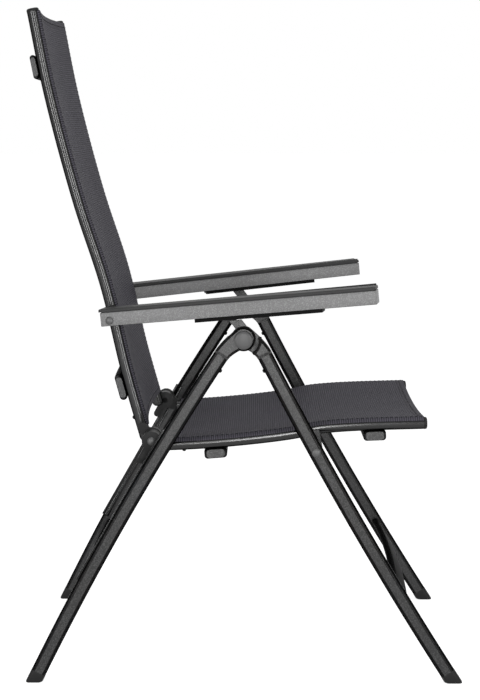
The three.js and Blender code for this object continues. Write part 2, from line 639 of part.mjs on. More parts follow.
// Link that holds the armrest off the back tube: its pin turns in the tube, and the armrest turns on its sleeve
function armSpacer() {
  const splay = THREE.MathUtils.degToRad(ARM_SPLAY);
  const armInner = ARM_PLANE - ARM_WIDTH / 2 / Math.cos(splay) - ARM_SPACER_RADIUS * Math.tan(splay);
  const link = sidePlate(linkOutline(armPivot, armLinkPivot, ARM_LINK_RADIUS),
    armLinkInner, armLinkInner + ARM_LINK_THICKNESS);
  const sleeve = rod(armPivot, ARM_SPACER_RADIUS, armLinkInner, armInner - RUNNING_GAP);
  const pin = rod(armLinkPivot, ARM_LINK_PIN_RADIUS, BACK_TUBE_PLANE, armLinkInner + SEAT_GAP);
  const bore = rod(armPivot, ARM_SCREW_RADIUS + RUNNING_GAP, backTubeOuter, armInner + CUT_OVERRUN);
  return cut(joined(link, sleeve, pin), bore);
}

// Assembly: the left side is drawn, and the right side is its mirror image

const chair = new THREE.Group();
const sides = { left: new THREE.Group(), right: new THREE.Group() };
sides.right.scale.x = -1;
chair.add(sides.left, sides.right);

function addPair(name, geometry, material) {
  for (const [side, holder] of Object.entries(sides)) {
    const mesh = new THREE.Mesh(geometry, material.clone());
    mesh.name = `${side}_${name}`;
    holder.add(mesh);
  }
}

function addSingle(name, geometry, material) {
  const mesh = new THREE.Mesh(geometry, material.clone());
  mesh.name = name;
  chair.add(mesh);
}

const rivetHole = rod(seatPivot, RIVET_RADIUS + RUNNING_GAP, legInner - CUT_OVERRUN, legOuter + CUT_OVERRUN);
const pinHole = (centre, radius) =>
  rod(centre, radius + RUNNING_GAP, BACK_TUBE_PLANE - SEAT_GAP, backTubeOuter + CUT_OVERRUN);
const backTube = cut(roundTube(backPath, BACK_TUBE_PLANE, BACK_STEPS),
  pinHole(armLinkPivot, ARM_LINK_PIN_RADIUS), pinHole(backPivot, BACK_PIN_RADIUS));

addPair('rear_leg_tube', legTube(rearLegPath, []), materials.frame);
addPair('rear_knuckle', knuckle(rearLegPath, REAR_LEG.sign, rearKnuckleInner, legOuter), materials.frame);
addPair('rear_foot', foot(rearLegPath), materials.plastic);
addPair('hub_bolt', hubBolt(), materials.steel);
addPair('hub_cap', hubCap(), materials.frame);
addPair('slide_rail', slideRail(), materials.frame);
addPair('rear_leg_screw', legScrew(rearLegPath, REAR_LEG.sign), materials.plastic);
addPair('front_leg_tube', legTube(frontLegPath, [rivetHole]), materials.frame);
addPair('front_knuckle', frontKnuckle(), materials.frame);
addPair('front_foot', foot(frontLegPath), materials.plastic);
addPair('front_leg_screw', legScrew(frontLegPath, FRONT_LEG.sign), materials.plastic);
addPair('seat_pivot_rivet', seatRivet(), materials.steel);
addPair('seat_tube', roundTube(seatPath, SEAT_TUBE_PLANE, SEAT_STEPS), materials.frame);
addPair('seat_tube_cap', tubeCap(seatPath, SEAT_TUBE_PLANE), materials.plastic);
addPair('seat_pivot_lug', seatPivotLug(), materials.frame);
addPair('seat_hinge_bracket', seatHingeBracket(), materials.plastic);
addPair('slide_carriage', slideCarriage(), materials.plastic);
addPair('hinge_bolt', hingeBolt(), materials.steel);
addPair('back_tube', backTube, materials.frame);
addPair('back_tube_cap', tubeCap(backPath, BACK_TUBE_PLANE), materials.plastic);
addPair('back_hinge_bracket', backHingeBracket(), materials.plastic);
addPair('arm_spacer', armSpacer(), materials.plastic);
addPair('arm_pivot_screw', armScrew(), materials.steel);
addPair('armrest_profile', armProfile(), materials.arm);
addPair('armrest_pad', armPad(), materials.pad);
addPair('ratchet_rail', ratchetRail(), materials.plastic);

const singles = {
  rear_leg_crossbar: legBar(rearLegPath, REAR_LEG_BAR_share, -1, REAR_LEG_BAR_AHEAD),
  front_leg_crossbar: legBar(frontLegPath, FRONT_LEG_BAR_share, 1, 0),
  seat_front_crossbar: tubeBar(seatPath, SEAT_FRONT_BAR_share, SEAT_TUBE_PLANE, SEAT_BAR, -1),
  seat_rear_crossbar: tubeBar(seatPath, SEAT_REAR_BAR_share, SEAT_TUBE_PLANE, SEAT_BAR, -1),
  back_upper_crossbar: tubeBar(backPath, BACK_UPPER_BAR_share, BACK_TUBE_PLANE, BACK_UPPER_BAR, 1),
  back_lower_crossbar: tubeBar(backPath, BACK_LOWER_BAR_share, BACK_TUBE_PLANE, BACK_LOWER_BAR, 1),
};
for (const [name, geometry] of Object.entries(singles)) {
  addSingle(name, geometry, materials.frame);
}
addSingle('seat_sling', sling(seatPath, SEAT_SLING_FROM_share, SEAT_SLING_TO_share, SEAT_TUBE_PLANE, -1),
  materials.fabric);
addSingle('back_sling', sling(backPath, BACK_SLING_FROM_share, BACK_SLING_TO_share, BACK_TUBE_PLANE, 1),
  materials.fabric);

export default chair;
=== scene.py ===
# %% [markdown]
# # A folding garden chair with a high back
#
# The chair stands on two pairs of flat-oval tube legs that cross at a hub under each armrest. Fabric is stretched
# between the round side tubes of the seat and of the back. The seat slides down the rear legs when the chair folds,
# and the back reclines while a toothed rail under each armrest moves over a pin.
#
# The solids come from a CAD model, which also says how each one moves. This lesson dresses them: smooth tubes for
# faceted ones, real fabric for plain sheets, and finishes that look like powder coat, moulded plastic and woven mesh.

# %% Load the frame
import math

import bmesh
import bpy
import numpy as np
from mathutils import Matrix, Vector


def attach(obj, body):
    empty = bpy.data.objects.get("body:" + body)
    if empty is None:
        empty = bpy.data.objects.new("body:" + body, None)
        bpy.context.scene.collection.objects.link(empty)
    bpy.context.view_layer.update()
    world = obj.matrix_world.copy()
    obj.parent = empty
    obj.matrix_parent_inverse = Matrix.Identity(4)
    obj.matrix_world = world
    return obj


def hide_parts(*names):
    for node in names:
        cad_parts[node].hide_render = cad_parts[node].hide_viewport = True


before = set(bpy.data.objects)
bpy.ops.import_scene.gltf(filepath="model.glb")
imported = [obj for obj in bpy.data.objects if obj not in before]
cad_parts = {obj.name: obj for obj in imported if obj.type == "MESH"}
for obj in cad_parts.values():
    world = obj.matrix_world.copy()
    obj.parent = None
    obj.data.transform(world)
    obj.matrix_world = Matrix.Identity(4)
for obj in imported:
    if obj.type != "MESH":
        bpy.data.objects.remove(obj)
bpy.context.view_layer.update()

# %% [markdown]
# Four short helpers save repeating the same calls. Two open a mesh for editing as a bmesh and write it back. One puts
# an object in the scene, and one turns an object with modifiers into a plain mesh.

# %% Short helpers
MM = 0.001


def opened(mesh):
    shape = bmesh.new()
    shape.from_mesh(mesh)
    return shape


def closed(shape, mesh=None):
    """Writes the bmesh into the mesh, or into a new one, and lets it go."""
    mesh = mesh or bpy.data.meshes.new("draft")
    shape.to_mesh(mesh)
    shape.free()
    return mesh


def linked(name, data):
    thing = bpy.data.objects.new(name, data)
    bpy.context.scene.collection.objects.link(thing)
    return thing


def baked(thing):
    """The object's mesh as its modifiers leave it. The object itself is removed."""
    made = bpy.data.meshes.new_from_object(thing.evaluated_get(bpy.context.evaluated_depsgraph_get()))
    bpy.data.objects.remove(thing)
    return made


print("helpers ready")

# %% [markdown]
# ## Camera
#
# The photograph was taken from the sitter's right, a little above the armrests, with a long lens. The camera's place
# was worked out from the feet, the hub and the top of the back. The picture is upright, so the lens is counted on its
# height. A long lens keeps the near and the far side almost the same size.

# %% Camera
FOCUS_PIXELS, IMAGE_HEIGHT, SENSOR_HEIGHT = 1900, 700, 36
HORIZON_PIXELS = 224  # from the picture's middle up to the level of the camera
CAMERA_PLACE = Vector((-3.355, -0.020, 0.9185))
CAMERA_DOWN = math.atan(HORIZON_PIXELS / FOCUS_PIXELS)
CAMERA_TURN = math.radians(0.48)

camera_data = bpy.data.cameras.new("camera")
camera_data.sensor_fit, camera_data.sensor_height = "VERTICAL", SENSOR_HEIGHT
camera_data.lens = FOCUS_PIXELS / IMAGE_HEIGHT * SENSOR_HEIGHT
camera = linked("camera", camera_data)
looking = Vector((math.cos(CAMERA_DOWN) * math.cos(CAMERA_TURN),
                  math.cos(CAMERA_DOWN) * math.sin(CAMERA_TURN), -math.sin(CAMERA_DOWN)))
camera.location = CAMERA_PLACE
camera.rotation_euler = looking.to_track_quat("-Z", "Y").to_euler()
bpy.context.scene.camera = camera
print("camera looks along", [round(v, 3) for v in looking])

# %% [markdown]
# ## A short way to write shader maths
#
# A material is a graph of nodes. Written out one node at a time it soon hides what it does. The class below wraps one
# output socket, and its operators add the Math nodes, so a mask is written as an expression such as
# `1 - rib * 0.5`. One method, `node`, makes every other kind of node.

# %% Shader expressions
class Value:
    """A number that changes over a surface: an output socket, or a plain number."""

    def __init__(self, tree, socket):
        self.tree, self.socket = tree, socket

    def math(self, operation, *others, clamp=False):
        node = self.tree.nodes.new("ShaderNodeMath")
        node.operation = operation
        node.use_clamp = clamp
        for place, value in enumerate((self, *others)):
            plug(self.tree, node.inputs[place], value)
        return Value(self.tree, node.outputs[0])

    def __add__(self, other):
        return self.math("ADD", other)

    def __sub__(self, other):
        return self.math("SUBTRACT", other)

    def __mul__(self, other):
        return self.math("MULTIPLY", other)

    def __rsub__(self, other):
        return (self * -1) + other

    __radd__ = __add__
    __rmul__ = __mul__

    def clamped(self):
        return self.math("ADD", 0.0, clamp=True)


def plug(tree, socket, value):
    if isinstance(value, Value):
        tree.links.new(value.socket, socket)
    else:
        socket.default_value = value


class Finish:
    """A material with one Principled shader, and the nodes that feed it."""

    def __init__(self, name, **constants):
        self.material = bpy.data.materials.new(name)
        self.material.use_nodes = True
        self.tree = self.material.node_tree
        self.tree.nodes.clear()
        self.shader = self.tree.nodes.new("ShaderNodeBsdfPrincipled")
        output = self.tree.nodes.new("ShaderNodeOutputMaterial")
        self.tree.links.new(self.shader.outputs["BSDF"], output.inputs["Surface"])
        self.feed(**constants)

    def node(self, kind, settings=None, out=0, **inputs):
        """Adds a node. An input is given by its name, or as i0, i1 and so on where names repeat."""
        made = self.tree.nodes.new(kind)
        for key, value in (settings or {}).items():
            setattr(made, key, value)
        for key, value in inputs.items():
            name = int(key[1:]) if key[0] == "i" and key[1:].isdigit() else key.replace("_", " ")
            plug(self.tree, made.inputs[name], value)
        return Value(self.tree, made.outputs[out])

    def coordinates(self, kind="Object"):
        return self.node("ShaderNodeTexCoord", out=kind)

    def noise(self, scale, vector, detail=2.0, roughness=0.5):
        return self.node("ShaderNodeTexNoise", Vector=vector, Scale=scale, Detail=detail, Roughness=roughness)

    def mix(self, share, low, high):
        return self.node("ShaderNodeMix", {"data_type": "RGBA"}, out=2, i0=share, i6=low, i7=high)

    def bump(self, height, distance, strength=1.0):
        normal = self.node("ShaderNodeBump", Height=height, Distance=distance, Strength=strength)
        self.feed(Normal=normal)

    def feed(self, **inputs):
        for key, value in inputs.items():
            plug(self.tree, self.shader.inputs[key.replace("_", " ")], value)


def grey(level, warm=0.0):
    """A neutral colour, or one that is a little warmer or cooler than grey."""
    return (level + warm, level, level - warm, 1.0)


print("shader helpers ready")

# %% [markdown]
# ## Finishes
#
# The frame is powder coated: a baked plastic film with fine metal flakes in it. Close up it has a soft orange-peel
# surface and tiny bright specks, and from a distance it is a satin dark grey. The flakes come from a Voronoi pattern,
# where only the cells that drew a high number turn bright. The pattern reads Object coordinates, so its scale is in
# metres and it stays on the piece when the chair moves. Round tubes and corners look darker towards their edges than
# a plain film would, so their coats count as metal with a dark rim. The corners, narrow sides and undersides also get
# a darker copy of the coat, which is painted shade, and the armrests a much lighter coat, which is painted light.

# %% Powder coat
FLAKES_PER_METRE, CLOUDS_PER_METRE, SKIN_PER_METRE = 760.0, 9.0, 620.0


def powder_coat(name, level, flake_level, roughness, specular=0.5, metal=0.0, rim=1.0, peel=0.25):
    """rim darkens the reflections at grazing angles, and peel is the strength of the orange-peel bumps."""
    finish = Finish(name, Roughness=roughness, Metallic=metal, IOR=1.45, Specular_IOR_Level=specular,
                    Specular_Tint=(rim, rim, rim, 1))
    place = finish.coordinates()
    cells = finish.node("ShaderNodeTexVoronoi", {"feature": "F1"}, out=1, Vector=place, Scale=FLAKES_PER_METRE)
    luck = finish.node("ShaderNodeSeparateColor", Color=cells)
    flakes = finish.node("ShaderNodeMapRange", i0=luck, i1=0.55, i2=1.0, i3=0.0, i4=1.0)
    clouds = finish.noise(CLOUDS_PER_METRE, place, detail=3.0)
    film = finish.mix(clouds, grey(level * 0.88, 0.001), grey(level * 1.12, -0.001))
    finish.feed(Base_Color=finish.mix(flakes * 0.5, film, grey(flake_level)),
                Roughness=(clouds * 0.1 - flakes * 0.04 + 0.95) * roughness)
    skin = finish.noise(SKIN_PER_METRE, place, detail=1.0)
    finish.bump(skin + flakes * 0.3, 0.1 * MM, peel)
    return finish.material


frame_paint = powder_coat("frame_powder_coat", 0.014, 0.085, 0.31, 0.36)
# A darker copy of the coat: painted shade for corners, narrow sides and undersides.
painted_shade = powder_coat("painted_shade_coat", 0.007, 0.02, 0.28, metal=1.0, rim=0.03)
tube_paint = powder_coat("side_tube_powder_coat", 0.036, 0.038, 0.19, metal=1.0, rim=0.02, peel=0.0)
# A much lighter coat than the legs': painted light on the armrests.
painted_light_arm_coat = powder_coat("armrest_coat_painted_lighter", 0.135, 0.3, 0.4, 0.3)
bar_paint = powder_coat("crossbar_powder_coat", 0.036, 0.08, 0.4, metal=1.0, rim=0.03)
rail_metal = powder_coat("slide_rail_coat", 0.02, 0.04, 0.2, metal=1.0, rim=0.1)
print("powder coats:", 6)

# %% [markdown]
# Moulded plastic is one colour right through. What shows is its skin: a fine even grain from the etched mould, and
# places that hands and floors have rubbed smoother. The pads on the armrests are a lighter plastic than the caps and
# hinge pieces. The screws and pins are coated steel, with faint rings left by the lathe.

# %% Plastics and steel
def moulded(name, level, roughness, grain, depth, specular=0.16):
    finish = Finish(name, Roughness=roughness, IOR=1.46, Specular_IOR_Level=specular)
    place = finish.coordinates()
    wear = finish.noise(14.0, place, detail=4.0, roughness=0.6)
    fine = finish.noise(grain, place)
    finish.feed(Base_Color=finish.mix(wear, grey(level * 0.85), grey(level * 1.18)),
                Roughness=roughness + (wear - 0.5) * 0.16 + (fine - 0.5) * 0.1)
    finish.bump(fine, depth, 0.6)
    return finish.material


black_plastic = moulded("black_plastic", 0.009, 0.45, 900.0, 0.12 * MM)
pad_plastic = moulded("armrest_pad_plastic", 0.03, 0.5, 700.0, 0.18 * MM)
rail_plastic = moulded("ratchet_plastic", 0.004, 0.55, 900.0, 0.1 * MM, 0.04)
cap_plastic = moulded("hub_cap_plastic", 0.062, 0.34, 1100.0, 0.06 * MM, 0.3)


def coated_steel(name, level):
    finish = Finish(name, Metallic=0.25, Roughness=0.38)
    place = finish.coordinates()
    rings = finish.node("ShaderNodeTexWave", {"wave_type": "RINGS", "rings_direction": "X"}, out=1,
                        Vector=place, Scale=180.0, Distortion=1.5)
    blotches = finish.noise(160.0, place, detail=3.0)
    finish.feed(Base_Color=finish.mix(blotches, grey(level * 0.8), grey(level * 1.25)),
                Roughness=0.32 + blotches * 0.18)
    finish.bump(rings, 0.03 * MM, 0.3)
    return finish.material


dark_steel = coated_steel("dark_coated_steel", 0.06)
print("plastics and steel ready")

# %% [markdown]
# The fabric is a coated mesh. Thick yarns lie across the chair, a few to the centimetre, and thin ones cross them, so
# the cloth shows fine ribs from side to side. The pattern follows the cloth and not the world, so it reads the sheet's
# own UV map, which is laid out in metres: U across the chair and V along the tubes.

# %% Woven fabric
RIB_PITCH, YARN_PITCH = 3.7 * MM, 1.6 * MM


def woven(name, low, high):
    finish = Finish(name, Roughness=0.72, Specular_IOR_Level=0.12, IOR=1.4)
    flat = finish.coordinates("UV")
    across = finish.node("ShaderNodeSeparateXYZ", Vector=flat)
    along = finish.node("ShaderNodeSeparateXYZ", out=1, Vector=flat)
    turn = 2 * math.pi
    rib = (along * (turn / RIB_PITCH)).math("SINE") * 0.5 + 0.5
    row = (along * (1 / RIB_PITCH)).math("FLOOR")
    shift = row.math("MODULO", 2.0) * 0.5
    yarn = ((across * (1 / YARN_PITCH) + shift) * turn).math("SINE") * 0.5 + 0.5
    threads = rib * 0.7 + rib * yarn * 0.3
    slubs = finish.noise(1.0, finish.node("ShaderNodeMapping", Vector=flat, Scale=(14.0, 420.0, 1.0)))
    patches = finish.noise(7.0, flat, detail=3.0)
    shade = (threads * 0.85 + slubs * 0.25 + patches * 0.2 - 0.15).clamped()
    finish.feed(Base_Color=finish.mix(shade, low, high), Roughness=0.62 + threads * 0.15)
    finish.bump(threads + slubs * 0.3, 0.4 * MM, 0.8)
    return finish.material


sling_fabric = woven("woven_sling", (0.006, 0.0058, 0.0075, 1), (0.096, 0.091, 0.11, 1))
hem_fabric = woven("woven_hem", (0.022, 0.021, 0.025, 1), (0.078, 0.074, 0.088, 1))
thread = powder_coat("sewing_thread", 0.004, 0.006, 0.6, metal=1.0, rim=0.01)
print("fabric ribs every", RIB_PITCH / MM, "mm")

# %% [markdown]
# ## Floor and light
#
# The picture has a plain white ground. The floor is a large pale disc that adds its own white for the camera alone,
# so it stays white while the chair's shadow still falls on it. The sky behind is white for the camera, for mirror
# reflections and for light seen through something, and a plain grey level for everything that it lights.

# %% Floor
def white_for_the_camera(tree, keep):
    """A share that is 1 for camera, glossy and transmission rays, times keep."""
    path = tree.nodes.new("ShaderNodeLightPath")
    seen = Value(tree, path.outputs["Is Camera Ray"])
    mirrored = Value(tree, path.outputs["Is Glossy Ray"])
    through = Value(tree, path.outputs["Is Transmission Ray"])
    return (seen + mirrored + through).clamped() * keep


def joined(tree, join, first, second, end):
    """Joins two shaders by a third node, leads the result to the tree's end and returns the joining node."""
    both, output = tree.nodes.new(join), tree.nodes.new(end)
    tree.links.new(first.outputs[0], both.inputs[-2])
    tree.links.new(second.outputs[0], both.inputs[-1])
    tree.links.new(both.outputs[0], output.inputs["Surface"])
    return both


FLOOR_RADIUS = 60.0
shape = bmesh.new()
bmesh.ops.create_circle(shape, cap_ends=True, segments=96, radius=FLOOR_RADIUS)
floor = linked("floor", closed(shape))

paper = bpy.data.materials.new("pale_floor")
paper.use_nodes = True
tree = paper.node_tree
tree.nodes.clear()
matt = tree.nodes.new("ShaderNodeBsdfDiffuse")
matt.inputs["Color"].default_value = (0.7, 0.7, 0.7, 1)
glow = tree.nodes.new("ShaderNodeEmission")
plug(tree, glow.inputs["Strength"], white_for_the_camera(tree, 0.8))
joined(tree, "ShaderNodeAddShader", matt, glow, "ShaderNodeOutputMaterial")
floor.data.materials.append(paper)
print("floor radius", FLOOR_RADIUS, "m")

# %% World and lamps
world = bpy.data.worlds.new("studio")
bpy.context.scene.world = world
world.use_nodes = True
tree = world.node_tree
tree.nodes.clear()
room, backdrop = (tree.nodes.new("ShaderNodeBackground") for _ in range(2))
room.inputs["Color"].default_value = (0.3, 0.3, 0.305, 1)
backdrop.inputs["Color"].default_value = (1, 1, 1, 1)
both = joined(tree, "ShaderNodeMixShader", room, backdrop, "ShaderNodeOutputWorld")
plug(tree, both.inputs[0], white_for_the_camera(tree, 1.0))


def softbox(name, place, target, size, watts):
    lamp = bpy.data.lights.new(name, "AREA")
    lamp.shape, lamp.size, lamp.size_y, lamp.energy = "RECTANGLE", *size, watts
    thing = linked(name, lamp)
    thing.location = place
    thing.rotation_euler = (Vector(target) - Vector(place)).to_track_quat("-Z", "Y").to_euler()


softbox("top_softbox", (-0.9, -0.5, 3.2), (0, 0, 0.5), (1.6, 1.6), 26)
for name, turn in (("rear", 33), ("middle", 0), ("front", -33)):
    away = Matrix.Rotation(math.radians(-turn), 3, "Z") @ Vector((-3.7, 0, 0))
    softbox(name + "_strip_light", (away.x, away.y, 0.95), (0, 0, 0.7), (0.2, 1.8), 44)
bpy.context.scene.view_settings.view_transform = "Standard"

# %% [markdown]
# ## Paths
#
# Every tube follows a smooth path through a few points in the side view. The sizes below are the real ones, in
# millimetres, and are turned into metres where they are used. The side tubes bend gently, so their paths are
# Catmull-Rom curves, which pass through all their points. The legs are bent once, so each is a simple arc with one
# control point.

# %% Sizes and points of the side view
HUB = Vector((0, 0, 573 * MM))
LEG_PLANE, SEAT_PLANE, BACK_PLANE = 282 * MM, 226 * MM, 199 * MM
LEG_THICKNESS, LEG_WIDTH, LEG_CORNER = 18 * MM, 25 * MM, 6 * MM
LEG_TOP, LEG_END = 547 * MM, 12 * MM
TUBE_RADIUS = 10 * MM
GAP = 0.3 * MM
HINGE_ON_LEG, HINGE_BEHIND_LEG, SEAT_PIVOT_ON_LEG = 0.297, 20.2 * MM, 0.291
ARM_OVER_HUB = 29 * MM


def square_to(direction):
    """The direction, turned a quarter about the chair's X axis."""
    return Vector((0, -direction.z, direction.y))


def arch(start, middle, end, steps):
    """A quadratic curve with one control point."""
    return [start * (1 - t) ** 2 + middle * (2 * t * (1 - t)) + end * t ** 2 for t in np.linspace(0, 1, steps)]


def leg_path(top_out, reach, bow, sign):
    top = Vector((0, sign * top_out * MM, LEG_TOP))
    end = Vector((0, sign * reach * MM, LEG_END))
    middle = (top + end) / 2 + square_to((end - top).normalized()) * (2 * bow * MM)
    return arch(top, middle, end, 41)


def smooth_path(points, per_span=24):
    """A Catmull-Rom curve through the points, with knots spaced by the root of the distance."""
    points = [Vector(p) for p in points]
    ends = [points[0] * 2 - points[1], *points, points[-1] * 2 - points[-2]]
    made = []
    for a, b, c, d in zip(ends, ends[1:], ends[2:], ends[3:]):
        before, here, after = ((q - p).length ** 0.5 for p, q in ((a, b), (b, c), (c, d)))
        leave = ((b - a) / before - (c - a) / (before + here) + (c - b) / here) * here
        arrive = ((c - b) / here - (d - b) / (here + after) + (d - c) / after) * here
        for t in np.arange(per_span) / per_span:
            made.append(b * (2 * t**3 - 3 * t**2 + 1) + leave * (t**3 - 2 * t**2 + t)
                        + c * (3 * t**2 - 2 * t**3) + arrive * (t**3 - t**2))
    return made + [points[-1]]


def along(path, share):
    """The point and direction at a share of the path's length."""
    steps = [(q - p).length for p, q in zip(path, path[1:])]
    left = share * sum(steps)
    for (p, q), step in zip(zip(path, path[1:]), steps):
        if left <= step + 1e-9:
            return p.lerp(q, left / step), (q - p).normalized()
        left -= step
    return path[-1], (path[-1] - path[-2]).normalized()


def point_on(path, share):
    """The point at a share of the path's steps, which are even in the curve's own parameter."""
    place = share * (len(path) - 1)
    low = min(int(place), len(path) - 2)
    return path[low].lerp(path[low + 1], place - low)


def at_height(path, height):
    return next(p.lerp(q, (height - p.z) / (q.z - p.z)) for p, q in zip(path, path[1:]) if q.z >= height)


rear_leg, front_leg = leg_path(36.5, 343, 9.7, 1), leg_path(35, 342, 7.5, -1)
LEGS = {"rear": (rear_leg, 1), "front": (front_leg, -1)}
slide_down = (rear_leg[-1] - rear_leg[0]).normalized()
slide_behind = square_to(slide_down)
HINGE = point_on(rear_leg, HINGE_ON_LEG) + slide_behind * HINGE_BEHIND_LEG
SEAT_PIVOT = point_on(front_leg, SEAT_PIVOT_ON_LEG)
SEAT_LENGTH, SEAT_RISE, BACK_REACH, BACK_HEIGHT = 452, 25.5, 194, 703
SEAT_SHARES = [(.049, -.45), (.177, -.34), (.336, -.1), (.469, .18), (.535, .37), (.602, .63), (.69, .79),
               (.794, .89), (1, 1)]
BACK_SHARES = [(.067, -.003), (.226, .155), (.401, .36), (.632, .561), (.867, .812), (1, 1)]
seat_path = smooth_path([HINGE + Vector((0, -f * SEAT_LENGTH, r * SEAT_RISE)) * MM for f, r in SEAT_SHARES])
back_path = smooth_path([HINGE + Vector((0, f * BACK_REACH, r * BACK_HEIGHT)) * MM for f, r in BACK_SHARES])
ARM_PIVOT = at_height(back_path, HUB.z + ARM_OVER_HUB)
print("hinge", [round(v, 4) for v in HINGE], "armrest pivot", [round(v, 4) for v in ARM_PIVOT])

# %% [markdown]
# ## Helpers for pieces
#
# A piece is made in place, finished to a plain mesh, given a material and fastened to the body that carries it. The
# chair is the same on both sides, so most pieces are made for the left and mirrored: the points swap sides, and the
# faces are turned round so that they still point outwards.

# %% Helpers for pieces
def piece_from(mesh, name, material, body, nodes):
    mesh.name = name
    if material is not None:
        mesh.materials.clear()
        mesh.materials.append(material)
    thing = linked(name, mesh)
    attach(thing, body)
    if nodes:
        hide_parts(*nodes)
    return thing


def mirrored(mesh):
    twin = mesh.copy()
    shape = opened(twin)
    bmesh.ops.scale(shape, vec=(-1, 1, 1), verts=shape.verts)
    bmesh.ops.reverse_faces(shape, faces=shape.faces)
    return closed(shape, twin)


def add_pair(mesh, name, material, body):
    """Adds the left piece and its mirror image. Each stands for the CAD node of its side."""
    return [piece_from(made, f"{side}_{name}_piece", material, body, [f"{side}_{name}"])
            for side, made in (("left", mesh), ("right", mirrored(mesh)))]


def outwards(mesh):
    """Makes the faces of a closed mesh point outwards."""
    shape = opened(mesh)
    bmesh.ops.recalc_face_normals(shape, faces=shape.faces)
    return closed(shape, mesh)


def smooth_by_angle(shape, degrees=35):
    for face in shape.faces:
        face.smooth = True
    for edge in shape.edges:
        edge.smooth = edge.is_manifold and edge.calc_face_angle(0) < math.radians(degrees)


def finished(shape, bevel=0.0, segments=3, angle=35, smooth=35):
    """Turns a bmesh into a plain mesh with rounded edges. Edges under the angle stay, and smooth is for shading."""
    mesh = outwards(closed(shape))
    if bevel:
        thing = linked("draft", mesh)
        rounding = thing.modifiers.new("round", "BEVEL")
        rounding.width, rounding.segments = bevel, segments
        rounding.limit_method, rounding.angle_limit = "ANGLE", math.radians(angle)
        rounding.use_clamp_overlap = True
        mesh = baked(thing)
    shape = opened(mesh)
    smooth_by_angle(shape, smooth)
    return closed(shape, mesh)


def shell(shape, low, high):
    """Adds a closed shape to the bmesh: two outlines with as many corners, and walls between them."""
    low, high = ([shape.verts.new(p) for p in outline] for outline in (low, high))
    shape.faces.new(low)
    shape.faces.new(high)
    for i in range(len(low)):
        j = (i + 1) % len(low)
        shape.faces.new((low[i], low[j], high[j], high[i]))


def plate(shape, outline, x_in, x_out):
    """Adds a flat plate: an outline in the side view, between two places across the chair."""
    shell(shape, [(x_in, y, z) for y, z in outline], [(x_out, y, z) for y, z in outline])


def turned(shape, profile, centre, axis, sides=40):
    """Adds a turned part: (radius, height) points spun about an axis. The first and last radius may be 0."""
    axis = Vector(axis).normalized()
    across = axis.orthogonal().normalized()
    other = axis.cross(across)
    rings = []
    for radius, height in profile:
        middle = Vector(centre) + axis * height
        if radius == 0:
            rings.append([shape.verts.new(middle)])
        else:
            rings.append([shape.verts.new(middle + (across * math.cos(a) + other * math.sin(a)) * radius)
                          for a in np.linspace(0, 2 * math.pi, sides, endpoint=False)])
    for low, high in zip(rings, rings[1:]):
        for i in range(sides):
            j = (i + 1) % sides
            corners = [low[i % len(low)], low[j % len(low)], high[j % len(high)], high[i % len(high)]]
            shape.faces.new(list(dict.fromkeys(corners)))


def rounded_profile(radius, height, edge, steps=8):
    """Half the outline of a flat disc with a rounded upper edge, for turned()."""
    corner = [(radius - edge + edge * math.sin(a), height - edge + edge * math.cos(a))
              for a in np.linspace(math.pi / 2, 0, steps)]
    return [(0, 0), (radius, 0), *corner, (0, height)]


print("piece helpers ready")

# %% [markdown]
# ## Tubes and crossbars
#
# A tube is one cross-section drawn along one path, which is just what Curve to Mesh does. The tree takes the path as
# a chain of edges, and its named inputs say how wide, how thick and how round the section is and how far it is turned
# about the path. The same tree makes the flat-oval legs, the round side tubes and the bowed crossbars.

# %% The tube tree
class Tree:
    """A Geometry Nodes tree with named inputs. Its node() works like the one of a finish."""

    node = Finish.node

    def __init__(self, name, inputs):
        self.tree = bpy.data.node_groups.new(name, "GeometryNodeTree")
        self.tree.interface.new_socket("Geometry", in_out="INPUT", socket_type="NodeSocketGeometry")
        self.tree.interface.new_socket("Geometry", in_out="OUTPUT", socket_type="NodeSocketGeometry")
        for key, kind in inputs.items():
            self.tree.interface.new_socket(key, in_out="INPUT", socket_type="NodeSocket" + kind)
        source = self.tree.nodes.new("NodeGroupInput")
        self.inputs = {s.name: Value(self.tree, s) for s in source.outputs if s.name}

    def close(self, geometry, material):
        """Ends the tree: real geometry in place of instances, and its material."""
        real = self.node("GeometryNodeRealizeInstances", Geometry=geometry)
        dressed = self.node("GeometryNodeSetMaterial", Geometry=real, Material=material)
        sink = self.tree.nodes.new("NodeGroupOutput")
        self.tree.links.new(dressed.socket, sink.inputs[0])

    def grow(self, points, edges, **values):
        """Runs the tree on a chain of points and returns a plain mesh."""
        mesh = bpy.data.meshes.new("chain")
        mesh.from_pydata([tuple(p) for p in points], edges, [])
        thing = linked("chain", mesh)
        modifier = thing.modifiers.new("grow", "NODES")
        modifier.node_group = self.tree
        names = {item.name: item.identifier for item in self.tree.interface.items_tree
                 if getattr(item, "in_out", "") == "INPUT"}
        for key, value in values.items():
            modifier[names[key]] = value
        return baked(thing)


def chain(points, first=0):
    """The edges between each point and the next."""
    return [(first + i, first + i + 1) for i in range(len(points) - 1)]


def softened(tree, geometry, degrees):
    """Shades faces smooth, but keeps every edge sharper than the angle."""
    smooth = tree.node("GeometryNodeSetShadeSmooth", {"domain": "FACE"}, i0=geometry)
    turn = tree.node("GeometryNodeInputMeshEdgeAngle")
    sharp = tree.node("FunctionNodeCompare", {"data_type": "FLOAT", "operation": "GREATER_THAN"},
                      i0=turn, i1=math.radians(degrees))
    return tree.node("GeometryNodeSetShadeSmooth", {"domain": "EDGE"}, i0=smooth, i1=sharp, i2=False)


